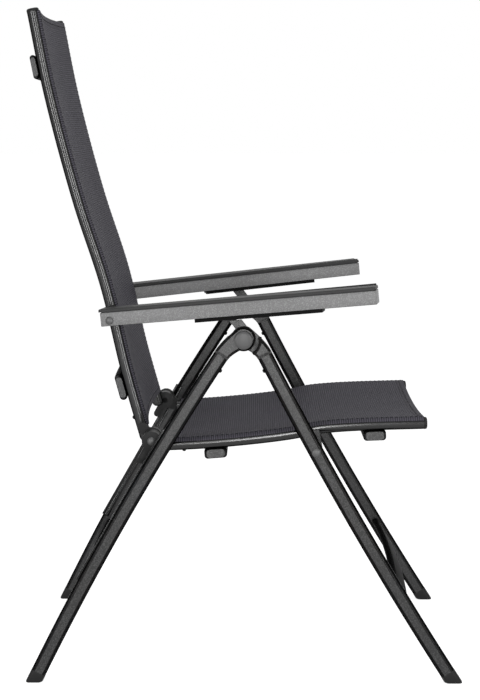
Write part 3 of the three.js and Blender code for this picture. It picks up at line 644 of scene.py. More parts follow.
tube_tree = Tree("tube", {"Width": "Float", "Thickness": "Float", "Corner": "Float", "Tilt": "Float",
                          "Corner Points": "Int", "Material": "Material"})
node, given = tube_tree.node, tube_tree.inputs
path_curve = node("GeometryNodeMeshToCurve", Mesh=given["Geometry"])
path_curve = node("GeometryNodeSetCurveNormal", {"mode": "Z_UP"}, Curve=path_curve)
path_curve = node("GeometryNodeSetCurveTilt", Curve=path_curve, Tilt=given["Tilt"])
section = node("GeometryNodeCurvePrimitiveQuadrilateral", {"mode": "RECTANGLE"}, Width=given["Thickness"],
               Height=given["Width"])
section = node("GeometryNodeFilletCurve", {"mode": "POLY"}, Curve=section, Count=given["Corner Points"],
               Radius=given["Corner"], Limit_Radius=True)
skin = node("GeometryNodeCurveToMesh", Curve=path_curve, Profile_Curve=section, Fill_Caps=True)
skin = node("GeometryNodeMergeByDistance", Geometry=skin, Distance=0.02 * MM)
tube_tree.close(softened(tube_tree, skin, 40), given["Material"])


def tube(points, width, thickness, corner, material, tilt=0.0, corner_points=7):
    made = tube_tree.grow(points, chain(points), Width=width, Thickness=thickness, Corner=corner, Tilt=tilt,
                          **{"Corner Points": corner_points, "Material": material})
    return outwards(made)


def across_to(points, x):
    return [Vector((x, p.y, p.z)) for p in points]


def paint_shade_on_sides(mesh, axis, least, paint=None):
    """Gives the darker coat, as painted shade, to the faces that don't look along the axis."""
    if paint:
        mesh.materials.append(paint)
    mesh.materials.append(painted_shade)
    for face in mesh.polygons:
        if abs(face.normal[axis]) < least:
            face.material_index = 1
    return mesh


# The faces of each leg that don't face sideways, its corners and narrow sides, get the darker coat: painted shade.
for end, (path, _) in LEGS.items():
    leg = tube(across_to(path, LEG_PLANE), LEG_WIDTH, LEG_THICKNESS, LEG_CORNER, frame_paint)
    add_pair(paint_shade_on_sides(leg, 0, 0.995), end + "_leg_tube", None, end + "_legs")
ROUND = dict(width=2 * TUBE_RADIUS, thickness=2 * TUBE_RADIUS, corner=TUBE_RADIUS, corner_points=10)
add_pair(tube(across_to(seat_path, SEAT_PLANE), material=tube_paint, **ROUND), "seat_tube", None, "seat")
# The lower end of the back tube is closed by a low dome.
DOME_RADIUS, DOME_HEIGHT, DOME_SINK = 9.7 * MM, 7 * MM, -0.2 * MM
dome = [(DOME_RADIUS * math.cos(a), DOME_HEIGHT * math.sin(a)) for a in np.linspace(0, 1.5, 9)]
shape = opened(tube(across_to(back_path, BACK_PLANE), material=tube_paint, **ROUND))
turned(shape, [(0, DOME_SINK), *dome, (0, DOME_HEIGHT)], across_to(back_path[:1], BACK_PLANE)[0],
       back_path[0] - back_path[1])
add_pair(finished(shape, smooth=50), "back_tube", tube_paint, "back")

# %% [markdown]
# The crossbars are flat ovals too, bowed a little away from the sitter. Those of the legs butt against the inner
# faces of the legs. Those of the seat and the back lie across the tubes, on the side turned from the sitter. The tilt
# turns the section so that its width follows the tubes.

# %% Crossbars
BAR_END, BAR_END_DROP = 9 * MM, 0.4


def crossbar(half_span, bar, place, width_along):
    """bar is (width, thickness, corner, bow) in millimetres. The last 9 mm at each end get a little slimmer."""
    width, thickness, corner, bow = (v * MM for v in bar)
    half = half_span - bow / half_span * thickness
    away = -square_to(width_along)
    shares = np.sin(np.linspace(-math.pi / 2, math.pi / 2, 61))
    points = [Vector((half * t, 0, 0)) + place + away * (bow * (1 - t * t)) for t in shares]
    tilt = math.atan2(-width_along.z, -width_along.y)
    mesh = tube(points, thickness, width, corner, bar_paint, tilt)
    for vertex in mesh.vertices:
        beyond = max(0.0, abs(vertex.co.x) - (half - BAR_END)) / BAR_END
        centre = place + away * (bow * (1 - (vertex.co.x / half) ** 2))
        shrink = math.sqrt(max(0.0, 1 - BAR_END_DROP * beyond ** 2))
        vertex.co.y = centre.y + (vertex.co.y - centre.y) * shrink
        vertex.co.z = centre.z + (vertex.co.z - centre.z) * shrink
    return mesh


def leg_bar(path, share, sign, ahead):
    nearby = point_on(path, share + 0.01) - point_on(path, share - 0.01)
    width_along = nearby.normalized() * sign
    place = point_on(path, share) + square_to(width_along) * ahead
    return crossbar(LEG_INNER - GAP, LEG_BAR, place, width_along)


def tube_bar(path, share, plane, bar, sign):
    place, direction = along(path, share)
    width_along = direction * sign
    place = place - square_to(width_along) * (TUBE_RADIUS + GAP + bar[1] / 2 * MM)
    return crossbar(plane + 6 * MM, bar, place, width_along)


LEG_INNER, LEG_OUTER = LEG_PLANE - LEG_THICKNESS / 2, LEG_PLANE + LEG_THICKNESS / 2
LEG_BAR, SEAT_BAR = (43, 12, 5.9, 7), (38, 17.4, 5.5, 3)
UPPER_BAR, LOWER_BAR = (40, 9.8, 4.8, 3), (45, 13, 6.4, 3)
bars = {
    "rear_leg_crossbar": (leg_bar(rear_leg, 0.757, -1, 6.2 * MM), "rear_legs"),
    "front_leg_crossbar": (leg_bar(front_leg, 0.747, 1, 0.0), "front_legs"),
    "seat_front_crossbar": (tube_bar(seat_path, 0.81, SEAT_PLANE, SEAT_BAR, -1), "seat"),
    "seat_rear_crossbar": (tube_bar(seat_path, 0.189, SEAT_PLANE, SEAT_BAR, -1), "seat"),
    "back_upper_crossbar": (tube_bar(back_path, 0.878, BACK_PLANE, UPPER_BAR, 1), "back"),
    "back_lower_crossbar": (tube_bar(back_path, 0.125, BACK_PLANE, LOWER_BAR, 1), "back"),
}
for name, (mesh, body) in bars.items():
    piece_from(mesh, name + "_piece", None, body, [name])
print("crossbars:", len(bars))

# %% [markdown]
# ## The fabric of the seat and the back
#
# Each fabric is one sheet, stretched between the side tubes. It lies over the top of each tube and goes a little way
# down its outer side, where the tube holds its edge. Between the tubes it dips a little, where a sitter has pressed
# it down. So the sheet is a grid that follows the tubes' path, and each row of it is a shallow dip with a bend round
# the tube at both ends. Its UV map is in metres, measured on the cloth, so the weave has one size everywhere. Cloth
# simulation would give the same shape here, because both edges are held tight.

# %% Sheet of fabric
SLING_SAG, CLOTH, FOLDED_CLOTH = 9 * MM, 1.5 * MM, 2.6 * MM
COVER = TUBE_RADIUS + CLOTH / 2 + 0.1 * MM
ROW_LENGTH, FLAT_POINTS, BEND_POINTS = 5 * MM, 33, 7
HEM, HEM_FROM_TUBE = 14 * MM, 4 * MM


class Sling:
    """The fabric between one pair of tubes. Sign says on which side of their path the sitter is."""

    def __init__(self, path, start, plane, sign, wrap):
        self.path, self.start, self.plane, self.sign = path, start, plane, sign
        self.half = plane + COVER * math.radians(wrap)
        self.tube_length = sum((q - p).length for p, q in zip(path, path[1:]))

    def sitter_side(self, share):
        return square_to(along(self.path, share)[1]) * self.sign

    def point(self, share, across, lift=0.0):
        """At a share of the tube's length, and so many metres of cloth from the middle."""
        dip = SLING_SAG * max(0.0, 1 - (across / self.plane) ** 2)
        turn = max(0.0, abs(across) - self.plane) / COVER
        x = min(abs(across), self.plane) + (COVER + lift) * math.sin(turn)
        height = (COVER + lift) * math.cos(turn) - dip
        place = along(self.path, share)[0]
        return place + Vector((math.copysign(x, across), 0, 0)) + self.sitter_side(share) * height

    def fabric(self, start, end, thickness, half):
        """A grid of fabric between two shares of the tubes' length, with its UV map in metres."""
        length = self.tube_length * (end - start)
        rows = max(2, round(length / ROW_LENGTH))
        bend = np.linspace(self.plane, half, BEND_POINTS) if half > self.plane else [half]
        flat = min(self.plane, half)
        across = np.unique(np.concatenate([np.negative(bend), np.linspace(-flat, flat, FLAT_POINTS), bend]))
        shape = bmesh.new()
        uv = shape.loops.layers.uv.new("UVMap")
        grid = [[shape.verts.new(self.point(start + (end - start) * r / rows, x)) for x in across]
                for r in range(rows + 1)]
        for r in range(rows):
            for c in range(len(across) - 1):
                corners = ((r, c), (r, c + 1), (r + 1, c + 1), (r + 1, c))
                face = shape.faces.new([grid[i][j] for i, j in corners])
                face.smooth = True
                for loop, (i, j) in zip(face.loops, corners):
                    loop[uv].uv = (across[j], start * self.tube_length + length * i / rows)
        face = shape.faces[:][0]
        face.normal_update()
        if face.normal.dot(self.sitter_side(start)) < 0:
            bmesh.ops.reverse_faces(shape, faces=shape.faces)
        thing = linked("cloth", closed(shape))
        wall = thing.modifiers.new("thickness", "SOLIDIFY")
        wall.thickness, wall.offset, wall.use_even_offset = thickness, 0, True
        if thickness > CLOTH:
            edge = thing.modifiers.new("edge", "BEVEL")
            edge.width, edge.segments, edge.angle_limit = thickness * 0.4, 2, math.radians(60)
        return baked(thing)


SLINGS = {"seat": Sling(seat_path, 0.02, SEAT_PLANE, -1, 60), "back": Sling(back_path, 0.026, BACK_PLANE, 1, 45)}
sheets, hems = {}, {}
for name, sling in SLINGS.items():
    cloth = sling.fabric(sling.start, 1.0, CLOTH, sling.half)
    sheets[name] = piece_from(cloth, name + "_sling_fabric", sling_fabric, name, [name + "_sling"])
    share = HEM / sling.tube_length
    hems[name] = []
    for place, low, high in (("lower", sling.start, sling.start + share), ("upper", 1.0 - share, 1.0)):
        fold = sling.fabric(low, high, FOLDED_CLOTH, sling.plane - HEM_FROM_TUBE)
        hems[name].append(piece_from(fold, f"{name}_sling_{place}_hem", hem_fabric, name, []))
    print(name, "fabric is", round(2 * sling.half, 3), "m across")

# %% [markdown]
# The hems and the long edges are sewn. A stitch is a short round-ended bead of thread, and there are hundreds, so
# Geometry Nodes places them: points at an even pitch along each seam line, and one low-poly bead on each point,
# turned along the seam. The seam lines run over the fabric, along the tubes and across the hems.

# %% Stitches
def points_along(tree, mode, **inputs):
    """Points on a tree's own chain of edges, and the turn that leads along the chain at each."""
    line = tree.node("GeometryNodeMeshToCurve", Mesh=tree.inputs["Geometry"])
    points = tree.node("GeometryNodeCurveToPoints", {"mode": mode}, Curve=line, **inputs)
    return points, Value(tree.tree, points.socket.node.outputs["Rotation"])


stitch_tree = Tree("stitches", {"Pitch": "Float", "Length": "Float", "Thread": "Float", "Material": "Material"})
node, given = stitch_tree.node, stitch_tree.inputs
spots, turns = points_along(stitch_tree, "LENGTH", Length=given["Pitch"])
bead = node("GeometryNodeMeshUVSphere", Segments=6, Rings=5, Radius=0.5)
size = node("ShaderNodeCombineXYZ", X=given["Thread"], Y=given["Thread"], Z=given["Length"])
sewn = node("GeometryNodeInstanceOnPoints", Points=spots, Instance=bead, Rotation=turns, Scale=size)
stitch_tree.close(node("GeometryNodeSetShadeSmooth", i0=sewn), given["Material"])

STITCH_PITCH, STITCH_LENGTH, THREAD, THREAD_SUNK = 8.0 * MM, 5.0 * MM, 2.0 * MM, 0.4 * MM
SIDE_SEAM, END_SEAM, END_SEAM_STOP, HEM_LIFT = 2.5 * MM, 9 * MM, 7 * MM, 0.5 * MM


def seam_lines(sling, length):
    """Lines along both edges, and one across near each end."""
    lift = CLOTH / 2 - THREAD_SUNK
    shares = [sling.start + (1.0 - sling.start) * t for t in np.linspace(0.012, 0.988, 120)]
    lines = [[sling.point(share, side * (sling.plane + SIDE_SEAM), lift) for share in shares] for side in (-1, 1)]
    half = sling.plane - END_SEAM_STOP
    for share in (sling.start + END_SEAM / length, 1.0 - END_SEAM / length):
        lines.append([sling.point(share, x, lift + HEM_LIFT) for x in np.linspace(-half, half, 60)])
    return lines


for name, sling in SLINGS.items():
    length = sling.tube_length * (1.0 - sling.start)
    points, edges = [], []
    for line in seam_lines(sling, length):
        edges += chain(line, len(points))
        points += line
    sewn = stitch_tree.grow(points, edges, Pitch=STITCH_PITCH, Length=STITCH_LENGTH, Thread=THREAD, Material=thread)
    stitches = piece_from(sewn, name + "_sling_stitches", None, name, [])
    2 * sling.half
    print(name, "stitches have", len(sewn.polygons), "faces")

# %% [markdown]
# ## Caps, feet and hub
#
# Round plastic caps close the upper ends of the seat and back tubes, and a boot covers the lower end of each leg. The
# boots are the leg's own section, a hair larger, cut off level with the floor and well rounded there. A cap is a
# turned shape: one outline, spun about the tube's axis.

# %% Caps and boots
for name, sling in SLINGS.items():
    place, direction = along(sling.path, 1.0)
    shape = bmesh.new()
    turned(shape, rounded_profile(10.3 * MM, 5 * MM, 3.6 * MM),
           across_to([place + direction * GAP], sling.plane)[0], direction, 48)
    add_pair(finished(shape), name + "_tube_cap", black_plastic, name)


BOOT_OVER, BOOT_UP, BOOT_DOWN = 0.3 * MM, 9 * MM, 30 * MM


def boot(path):
    """The leg's own oval, 0.3 mm larger, from 9 mm above the leg's end down to the floor."""
    end, direction = path[-1], (path[-1] - path[-2]).normalized()
    line = across_to([end - direction * BOOT_UP, end + direction * BOOT_DOWN], LEG_PLANE)
    shape = opened(tube(line, LEG_WIDTH + 2 * BOOT_OVER, LEG_THICKNESS + 2 * BOOT_OVER, LEG_CORNER + BOOT_OVER,
                        black_plastic))
    cut = bmesh.ops.bisect_plane(shape, geom=[*shape.verts, *shape.edges, *shape.faces], dist=1e-6,
                                 plane_co=(0, 0, 0), plane_no=(0, 0, -1), clear_outer=True)
    bmesh.ops.edgeloop_fill(shape, edges=[e for e in cut["geom_cut"] if isinstance(e, bmesh.types.BMEdge)])
    return finished(shape, bevel=4 * MM, segments=5, angle=50)


for end, (path, _) in LEGS.items():
    add_pair(boot(path), end + "_foot", black_plastic, end + "_legs")
print("caps and boots:", 8)

# %% [markdown]
# The hub is made of two cast knuckles that turn on one bolt. Each fills the top of its leg tube with an arm and lies
# beside the other with a round cheek. The outline is the same as in the CAD model: a round about the bolt and two
# soft curves to the tube. Plates and turned bosses are joined into one solid, and then all its edges are rounded, as
# a casting's are. The outer face of each knuckle also slopes down to its edge, and that border and the side walls get
# a darker coat: painted shade.

# %% Joined castings
def solid(build):
    """An object from one function that fills a bmesh with a closed shape."""
    shape = bmesh.new()
    build(shape)
    return linked("solid", outwards(closed(shape)))


def cast(builds, cuts=(), bevel=1.0 * MM, segments=3, angle=32):
    """Joins closed shapes into one, cuts others from it and rounds the edges."""
    first, *others = [solid(b) for b in builds]
    tools = [(p, "UNION") for p in others] + [(solid(c), "DIFFERENCE") for c in cuts]
    for tool, operation in tools:
        step = first.modifiers.new("join", "BOOLEAN")
        step.operation, step.object, step.solver = operation, tool, "EXACT"
    shape = opened(baked(first))
    for tool, _ in tools:
        bpy.data.objects.remove(tool)
    bmesh.ops.remove_doubles(shape, verts=shape.verts, dist=1e-6)
    bmesh.ops.dissolve_limit(shape, angle_limit=math.radians(1), verts=shape.verts, edges=shape.edges)
    return finished(shape, bevel, segments, angle)


def rod(centre, radius, x_in, x_out, sides=48):
    return lambda shape: turned(shape, [(0, 0), (radius, 0), (radius, x_out - x_in), (0, x_out - x_in)],
                                (x_in, centre.y, centre.z), (1, 0, 0), sides)


def slab(outline, x_in, x_out):
    return lambda shape: plate(shape, [(p.y, p.z) for p in outline], x_in, x_out)


HUB_SHOULDER = 25.5 * MM
CROWN, CHIN = math.radians(26), math.radians(20)


def side_view(angle):
    return Vector((0, math.cos(angle), math.sin(angle)))


def arc(centre, radius, start, end, steps=24):
    return [centre + side_view(a) * radius for a in np.linspace(start, end, steps)]


def knuckle_outline(path, sign):
    """Round about the hub, a little slimmer below than above, with a soft curve to each side of the leg."""
    top, down = path[0], (path[1] - path[0]).normalized()
    rearward = square_to(down)
    high = top + rearward * (sign * LEG_WIDTH / 2) - down * GAP
    low = top - rearward * (sign * LEG_WIDTH / 2) - down * GAP
    crown = math.pi / 2 - sign * CROWN
    chin = -math.pi / 2 + sign * CHIN + (2 * math.pi if sign > 0 else 0)
    cheek = [HUB + side_view(a) * ((20 + 2 * math.sin(a)) * MM) for a in np.linspace(crown, chin, 48)]
    return [*arch(high, high - down * 0.75 * HUB_SHOULDER, cheek[0], 16)[:-1], *cheek,
            *arch(cheek[-1], low - down * 0.36 * HUB_SHOULDER, low, 16)[1:]]


def knuckle(path, sign, cheek_in, cheek_out, extra=()):
    outline = knuckle_outline(path, sign)
    arm = cast([slab(outline, LEG_INNER, LEG_OUTER)],
               [rod(HUB, HUB_SHOULDER, LEG_INNER - 0.01, LEG_OUTER + 0.01, 64)], bevel=0)
    return cast([slab(outline, cheek_in, cheek_out), lambda shape: shape.from_mesh(arm), *extra])


RIM_WIDTH, RIM_DROP = 4.2 * MM, 1.8 * MM


def with_painted_shade_rim(mesh, path):
    """Slopes the border of the outer face down to its edge, but not at the leg, and gives the border and the side
    walls the darker coat, as painted shade.
    """
    top, down = path[0], (path[1] - path[0]).normalized()
    shape = opened(mesh)
    outer = [f for f in shape.faces if f.normal.x > 0.99 and abs(f.verts[0].co.x - LEG_OUTER) < 0.1 * MM]
    border = {v for f in outer for v in f.verts}
    bmesh.ops.inset_region(shape, faces=outer, thickness=RIM_WIDTH, depth=0, use_even_offset=True)
    for vertex in border:
        if (vertex.co - top).dot(down) < -1 * MM:
            vertex.co.x -= RIM_DROP
    shape.normal_update()
    smooth_by_angle(shape, 15)
    paint_shade_on_sides(closed(shape, mesh), 0, 0.97, frame_paint)
    for face in mesh.polygons:
        if face.normal.x > 0.5 and (face.center - top).dot(down) > -3 * MM:
            face.material_index = 0
    return mesh


STRUT_TILT, ARM_TILT = math.radians(38), math.radians(5.5)
STRUT_HALF_WIDTH, STRUT_SET_OFF, ARM_LIFT = 8.5 * MM, 9 * MM, 2.2 * MM
CHANNEL_HALF_HEIGHT, RATCHET_DROP = 11.2, 8
STRUT_UP = side_view(math.pi / 2 - STRUT_TILT)
STRUT_FOOT = HUB + square_to(STRUT_UP) * STRUT_SET_OFF
ARM_UP = side_view(math.pi / 2 - ARM_TILT)
under_arm = ARM_PIVOT + Vector((0, 0, ARM_LIFT)) - ARM_UP * (CHANNEL_HALF_HEIGHT + RATCHET_DROP) * MM
STRUT_LENGTH = (under_arm - STRUT_FOOT).dot(ARM_UP) / STRUT_UP.dot(ARM_UP)
slant = STRUT_HALF_WIDTH * -square_to(STRUT_UP).dot(ARM_UP) / STRUT_UP.dot(ARM_UP)


def on_strut(up, out):
    return STRUT_FOOT + STRUT_UP * up - square_to(STRUT_UP) * out * STRUT_HALF_WIDTH


strut = slab([on_strut(0, 1), on_strut(0, -1), on_strut(STRUT_LENGTH + slant, -1),
              on_strut(STRUT_LENGTH - slant, 1)], LEG_INNER + 0.4 * MM, LEG_PLANE - 0.5 * MM)
pin = rod(on_strut(STRUT_LENGTH - 6 * MM, 0), 3 * MM, LEG_INNER - 2 * MM, LEG_PLANE + 1.8 * MM, 24)
cheeks = {"rear": (LEG_PLANE + 0.15 * MM, LEG_OUTER), "front": (LEG_INNER, LEG_PLANE - 0.15 * MM, [strut, pin])}
for end, (path, sign) in LEGS.items():
    add_pair(with_painted_shade_rim(knuckle(path, sign, *cheeks[end]), path), end + "_knuckle", None, end + "_legs")

round_edge = [((8 + 7 * math.cos(a)) * MM, (2.4 + 3 * math.sin(a)) * MM) for a in np.linspace(0.15, 1.4, 9)]
shape = bmesh.new()
turned(shape, [(0, 0), (15 * MM, 0), (15 * MM, 2.4 * MM), *round_edge, (5 * MM, 5.7 * MM), (0, 5.8 * MM)],
       (LEG_OUTER + GAP, HUB.y, HUB.z), (1, 0, 0), 64)
# The cap's side, where its faces turn from the axis, gets the darker coat: painted shade.
add_pair(paint_shade_on_sides(finished(shape, smooth=30), 0, 0.3, cap_plastic), "hub_cap", None, "rear_legs")
print("strut length", round(STRUT_LENGTH / MM, 1), "mm")

# %% [markdown]
# ## The hinges between seat, back and rear legs
#
# On each side one bolt goes through three black plastic pieces: the bracket of the back, the bracket of the seat and
# the carriage that runs on the slide rail of the rear leg. They are moulded, so they are made as the knuckles are:
# plates and turned eyes, joined and then rounded.

# %% Hinge pieces
def strap(pin, radius, end, width):
    """Round about a pin, and square where it meets a tube."""
    across = square_to((end - pin).normalized())
    start = math.atan2(across.z, across.y)
    return [*arc(pin, radius, start, start + math.pi, 32), end - across * width / 2, end + across * width / 2]


def link(low, high, radius):
    """Round about each of two pins."""
    direction = (high - low).normalized()
    start = math.atan2(direction.y, -direction.z)
    return [*arc(low, radius, start, start + math.pi), *arc(high, radius, start + math.pi, start + 2 * math.pi)]


def on_slide(down, behind):
    return HINGE + slide_down * down * MM + slide_behind * behind * MM


def block(down, behind):
    """A box on the slide, between two places down it and two behind it."""
    (top, end), (front, rear) = down, behind
    return [on_slide(top, front), on_slide(end, front), on_slide(end, rear), on_slide(top, rear)]


def mm(*sizes):
    return [size * MM for size in sizes]


BACK_PIVOT = back_path[0] + (back_path[1] - back_path[0]).normalized() * 18 * MM
ARM_LINK_PIVOT = at_height(back_path, ARM_PIVOT.z + 13 * MM)
seat_end = seat_path[0] - (seat_path[1] - seat_path[0]).normalized() * GAP
nearest = min(seat_path, key=lambda p: (p - SEAT_PIVOT).length)

# Each casting is a list of rods, as (centre, radius, from, to), and slabs, as (outline, from, to).
castings = {
    "seat_hinge_bracket": (1.4, black_plastic, "seat", [
        rod(HINGE, *mm(14.4, 222.3, 249.7)), slab(strap(HINGE, 14.2 * MM, seat_end, 20 * MM), *mm(222.4, 235.8))]),
    "slide_carriage": (1.4, black_plastic, "carriages", [
        rod(HINGE, *mm(16, 250, 261.7)), slab(link(HINGE, on_slide(36, -0.5), 6 * MM), *mm(250.1, 261.6)),
        slab(block((2, 41), (-8, 0)), *mm(250.2, 261.5)), rod(on_slide(32, 0), *mm(4.6, 258, 263.4)),
        slab(block((-8, 5), (-15, -8.5)), *mm(258, 265.7))]),
    "back_hinge_bracket": (1.2, black_plastic, "hinge_bolts", [
        rod(HINGE, *mm(16, 209.3, 222)), slab(link(HINGE, BACK_PIVOT, 8.5 * MM), *mm(209.4, 215.2)),
        rod(BACK_PIVOT, *mm(3.5, 199, 210), 24)]),
    "seat_pivot_lug": (1.0, frame_paint, "seat", [
        slab(strap(SEAT_PIVOT, 12 * MM, nearest, 24 * MM), *mm(236.3, 241.3))]),
    "arm_spacer": (1.0, black_plastic, "arm_spacers", [
        slab(link(ARM_PIVOT, ARM_LINK_PIVOT, 8 * MM), *mm(209.4, 214.2)), rod(ARM_PIVOT, *mm(9, 209.3, 219.4)),
        rod(ARM_LINK_PIVOT, *mm(3, 199, 210), 24)]),
}
for name, (rounding, material, body, builds) in castings.items():
    slot = "frame" if material == frame_paint else "plastic"
    add_pair(cast(builds, bevel=rounding * MM), name, material, body)
print("castings:", ", ".join(castings))

# %% [markdown]
# The slide rail is a dark extruded profile with a groove along its inner face, in which the carriage's tongue runs.
# It is one section drawn along a straight line, so its corners are written down once and repeated at both ends.

# %% Slide rails
RAIL_CORNERS = [(266, -6.5), (272.7, -6.5), (272.7, 6.5), (266, 6.5), (266, 2.6), (269.4, 2.6), (269.4, -2.6),
                (266, -2.6)]
RAIL_TOP, RAIL_END, RAIL_BEHIND = -30, 262, -11.7


def rail_section(down):
    """Corners of the profile, each given as its place across the chair and behind the rail's middle line."""
    return [on_slide(down, behind + RAIL_BEHIND) + Vector((x * MM, 0, 0)) for x, behind in RAIL_CORNERS]


shape = bmesh.new()
shell(shape, rail_section(RAIL_TOP), rail_section(RAIL_END))
bmesh.ops.triangulate(shape, faces=[f for f in shape.faces if len(f.verts) > 4])
add_pair(finished(shape, 0.5 * MM, 2), "slide_rail", rail_metal, "rear_legs")
print("slide rails:", 2)

# %% [markdown]
# ## Armrests
#
# An armrest is a channel, open below, with a plastic pad along its top. It is drawn straight along -Y from its pivot,
# and then tilted up and turned outwards, which is how the CAD model places it too. The pad is a long flat plate with
# well rounded upper edges. A narrow strip under it leaves a thin dark line where it meets the channel.

# %% Armrest
ARM_PLANE, ARM_SPREAD = 242 * MM, math.radians(9)
arm_frame = (Matrix.Translation((ARM_PLANE, ARM_PIVOT.y, ARM_PIVOT.z + ARM_LIFT))
             @ Matrix.Rotation(ARM_SPREAD, 4, "Z") @ Matrix.Rotation(-ARM_TILT, 4, "X"))


def box(x_in, x_out, y_rear, y_front, z_low, z_high):
    corners = [(y * MM, z * MM) for y, z in ((y_rear, z_low), (y_rear, z_high), (y_front, z_high), (y_front, z_low))]
    return lambda shape: plate(shape, corners, x_in * MM, x_out * MM)


def placed(mesh):
    mesh.transform(arm_frame)
    return mesh


def rounded(shape, edges, radius):
    bmesh.ops.bevel(shape, geom=edges, offset=radius, segments=5, profile=0.5, affect="EDGES")


ARM_FRONT, PAD_LOW, PAD_TOP = -440, 12.6, 17.5
channel = cast([box(-20.5, 20.5, 15, ARM_FRONT, -CHANNEL_HALF_HEIGHT, CHANNEL_HALF_HEIGHT)],
               [box(-18.5, 18.5, 13, ARM_FRONT + 2, -20, 9.2)], bevel=0.95 * MM, angle=60)
# The channel's downward faces get the darker coat: painted shade under the armrest. The rest has the lighter coat,
# which is painted light.
for paint in (painted_light_arm_coat, painted_shade):
    channel.materials.append(paint)
for face in channel.polygons:
    face.material_index = int(face.normal.z < -0.5)
add_pair(placed(channel), "armrest_profile", None, "arms")
shape = bmesh.new()
box(-23, 23, 17, ARM_FRONT, PAD_LOW, PAD_TOP)(shape)
rounded(shape, [e for e in shape.edges if abs(e.verts[0].co.z - e.verts[1].co.z) > 3 * MM], 3 * MM)
rounded(shape, [e for e in shape.edges if all(v.co.z > 17 * MM for v in e.verts)], 2.4 * MM)
box(-19.5, 19.5, 13, ARM_FRONT + 4, 11.4, 12.55)(shape)
add_pair(placed(finished(shape, 0.5 * MM, 2, 60)), "armrest_pad", pad_plastic, "arms")
print("armrest is", 17 - ARM_FRONT, "mm long")

# %% [markdown]
# Under each armrest lies a black rail with teeth, which rests on the pin of the strut. Its walls are plain
# outside, and the teeth are on the inside of one of them, so only their ends show from below. The rail is a box
# without bottom, less a row of round notches that stop inside the wall.

# %% Ratchet rails
RATCHET_REAR, RATCHET_FRONT, RATCHET_LOW, RATCHET_HIGH = -141, -351, -17.2, -5.2
NOTCH_RADIUS, NOTCHES = 3.4 * MM, 7
pitch = (RATCHET_REAR - RATCHET_FRONT) / (NOTCHES + 1)


def notch(number, x_in, x_out):
    centre = Vector((0, RATCHET_REAR - pitch * number, RATCHET_LOW)) * MM
    return rod(centre, NOTCH_RADIUS, x_in * MM, x_out * MM, 20)


ratchet = cast([box(-18.2, 18.2, RATCHET_REAR, RATCHET_FRONT, RATCHET_LOW, RATCHET_HIGH)],
               [box(-16.2, 16.2, RATCHET_REAR - 4, RATCHET_FRONT + 4, -30, 0),
                *[notch(n + 1, -17.2, 10) for n in range(NOTCHES)]], 0.35 * MM, 2, 50)
add_pair(placed(ratchet), "ratchet_rail", rail_plastic, "arms")
print("teeth on each rail:", NOTCHES)

# %% [markdown]
# ## Screws, rivets and bolts
#
# Every fastener here is a low round head on a shank. Geometry Nodes makes them from the ends of short edges: the edge
# starts where the head sits and points out of the surface. One tree with named sizes serves them all, and each body
# gets one mesh with its own fasteners, left and right.

# %% Fasteners
screw_tree = Tree("fastener", {"Head Radius": "Float", "Head Height": "Float", "Shank Radius": "Float",
                               "Shank Length": "Float", "Material": "Material"})
node, given = screw_tree.node, screw_tree.inputs
seats, turns = points_along(screw_tree, "COUNT", Count=1)
ball = node("GeometryNodeMeshUVSphere", Segments=40, Rings=20, Radius=1.0)
dome = node("ShaderNodeCombineXYZ", X=given["Head Radius"], Y=given["Head Radius"], Z=given["Head Height"])
head = node("GeometryNodeTransform", Geometry=ball, Scale=dome)
shank = node("GeometryNodeMeshCylinder", Vertices=24, Radius=given["Shank Radius"], Depth=given["Shank Length"])
drop = node("ShaderNodeCombineXYZ", Z=given["Shank Length"] * -0.5)
shank = node("GeometryNodeTransform", Geometry=shank, Translation=drop)
both = screw_tree.tree.nodes.new("GeometryNodeJoinGeometry")
for part in (head, shank):
    screw_tree.tree.links.new(part.socket, both.inputs[0])
fastener = Value(screw_tree.tree, both.outputs[0])
set_in = node("GeometryNodeInstanceOnPoints", Points=seats, Instance=fastener, Rotation=turns)
screw_tree.close(softened(screw_tree, set_in, 40), given["Material"])


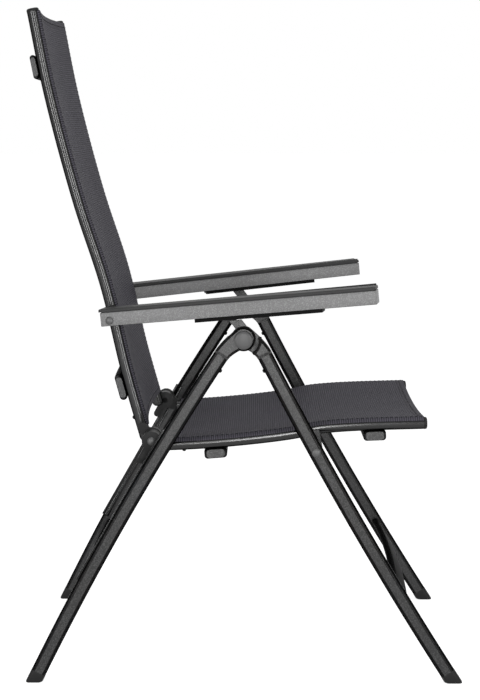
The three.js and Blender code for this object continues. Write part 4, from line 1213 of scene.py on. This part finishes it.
def fasteners(name, body, seat, direction, head, shank, material, slot, in_cad=True):
    """Adds the left and the right one as a single mesh. Head and shank are (radius, length) in millimetres."""
    points = []
    for side in (1, -1):
        start = Vector((side * seat.x, seat.y, seat.z))
        points += [start, start + Vector((side * direction.x, direction.y, direction.z)) * MM]
    sizes = zip(("Head Radius", "Head Height", "Shank Radius", "Shank Length"), mm(*head, *shank))
    made = screw_tree.grow(points, [(0, 1), (2, 3)], Material=material, **dict(sizes))
    nodes = [f"left_{name}", f"right_{name}"] if in_cad else []
    return piece_from(outwards(made), name + "_pieces", None, body, nodes)


ACROSS = Vector((1, 0, 0))
for end, (path, sign) in LEGS.items():
    under = -square_to((point_on(path, 0.045) - point_on(path, 0.025)).normalized()) * sign
    seat = point_on(path, 0.035) + under * (LEG_WIDTH / 2 + GAP) + ACROSS * LEG_PLANE
    fasteners(end + "_leg_screw", end + "_legs", seat, under, (3.4, 2.6), (1.8, 3), black_plastic, "plastic")
arm_seat = arm_frame @ Vector((20.8 * MM, 0, -ARM_LIFT))
arm_out = (arm_frame.to_3x3() @ ACROSS).normalized()
bolts = {"seat_pivot_rivet": ("front_legs", SEAT_PIVOT + ACROSS * (LEG_OUTER + GAP), ACROSS, (7.5, 3.6), (5, 55)),
         "hinge_bolt": ("hinge_bolts", HINGE + ACROSS * 262 * MM, ACROSS, (7, 3.4), (5, 52.7)),
         "arm_pivot_screw": ("arms", arm_seat, arm_out, (6.7, 3.2), (4, 50))}
for name, where in bolts.items():
    fasteners(name, *where, dark_steel, "bolt")
for name, share in (("back", 0.05), ("seat", 0.07)):
    sling = SLINGS[name]
    outer = -sling.sitter_side(share)
    place = along(sling.path, share)[0] + outer * (TUBE_RADIUS - 0.4 * MM) + ACROSS * sling.plane
    fasteners(name + "_bracket_screw", name, place, outer, (3.4, 3), (1.8, 4), black_plastic, "bolt", in_cad=False)
print("fasteners:", 14)

# %% [markdown]
# ## What the CAD model keeps
#
# The hub bolts with their nuts are already the right shape. They keep their meshes and get the same finish as the
# other bolts.

# %% Finish of the kept pieces
for side in ("left", "right"):
    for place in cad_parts[side + "_hub_bolt"].material_slots:
        place.material = dark_steel
print("kept from the CAD model: 2 hub bolts")
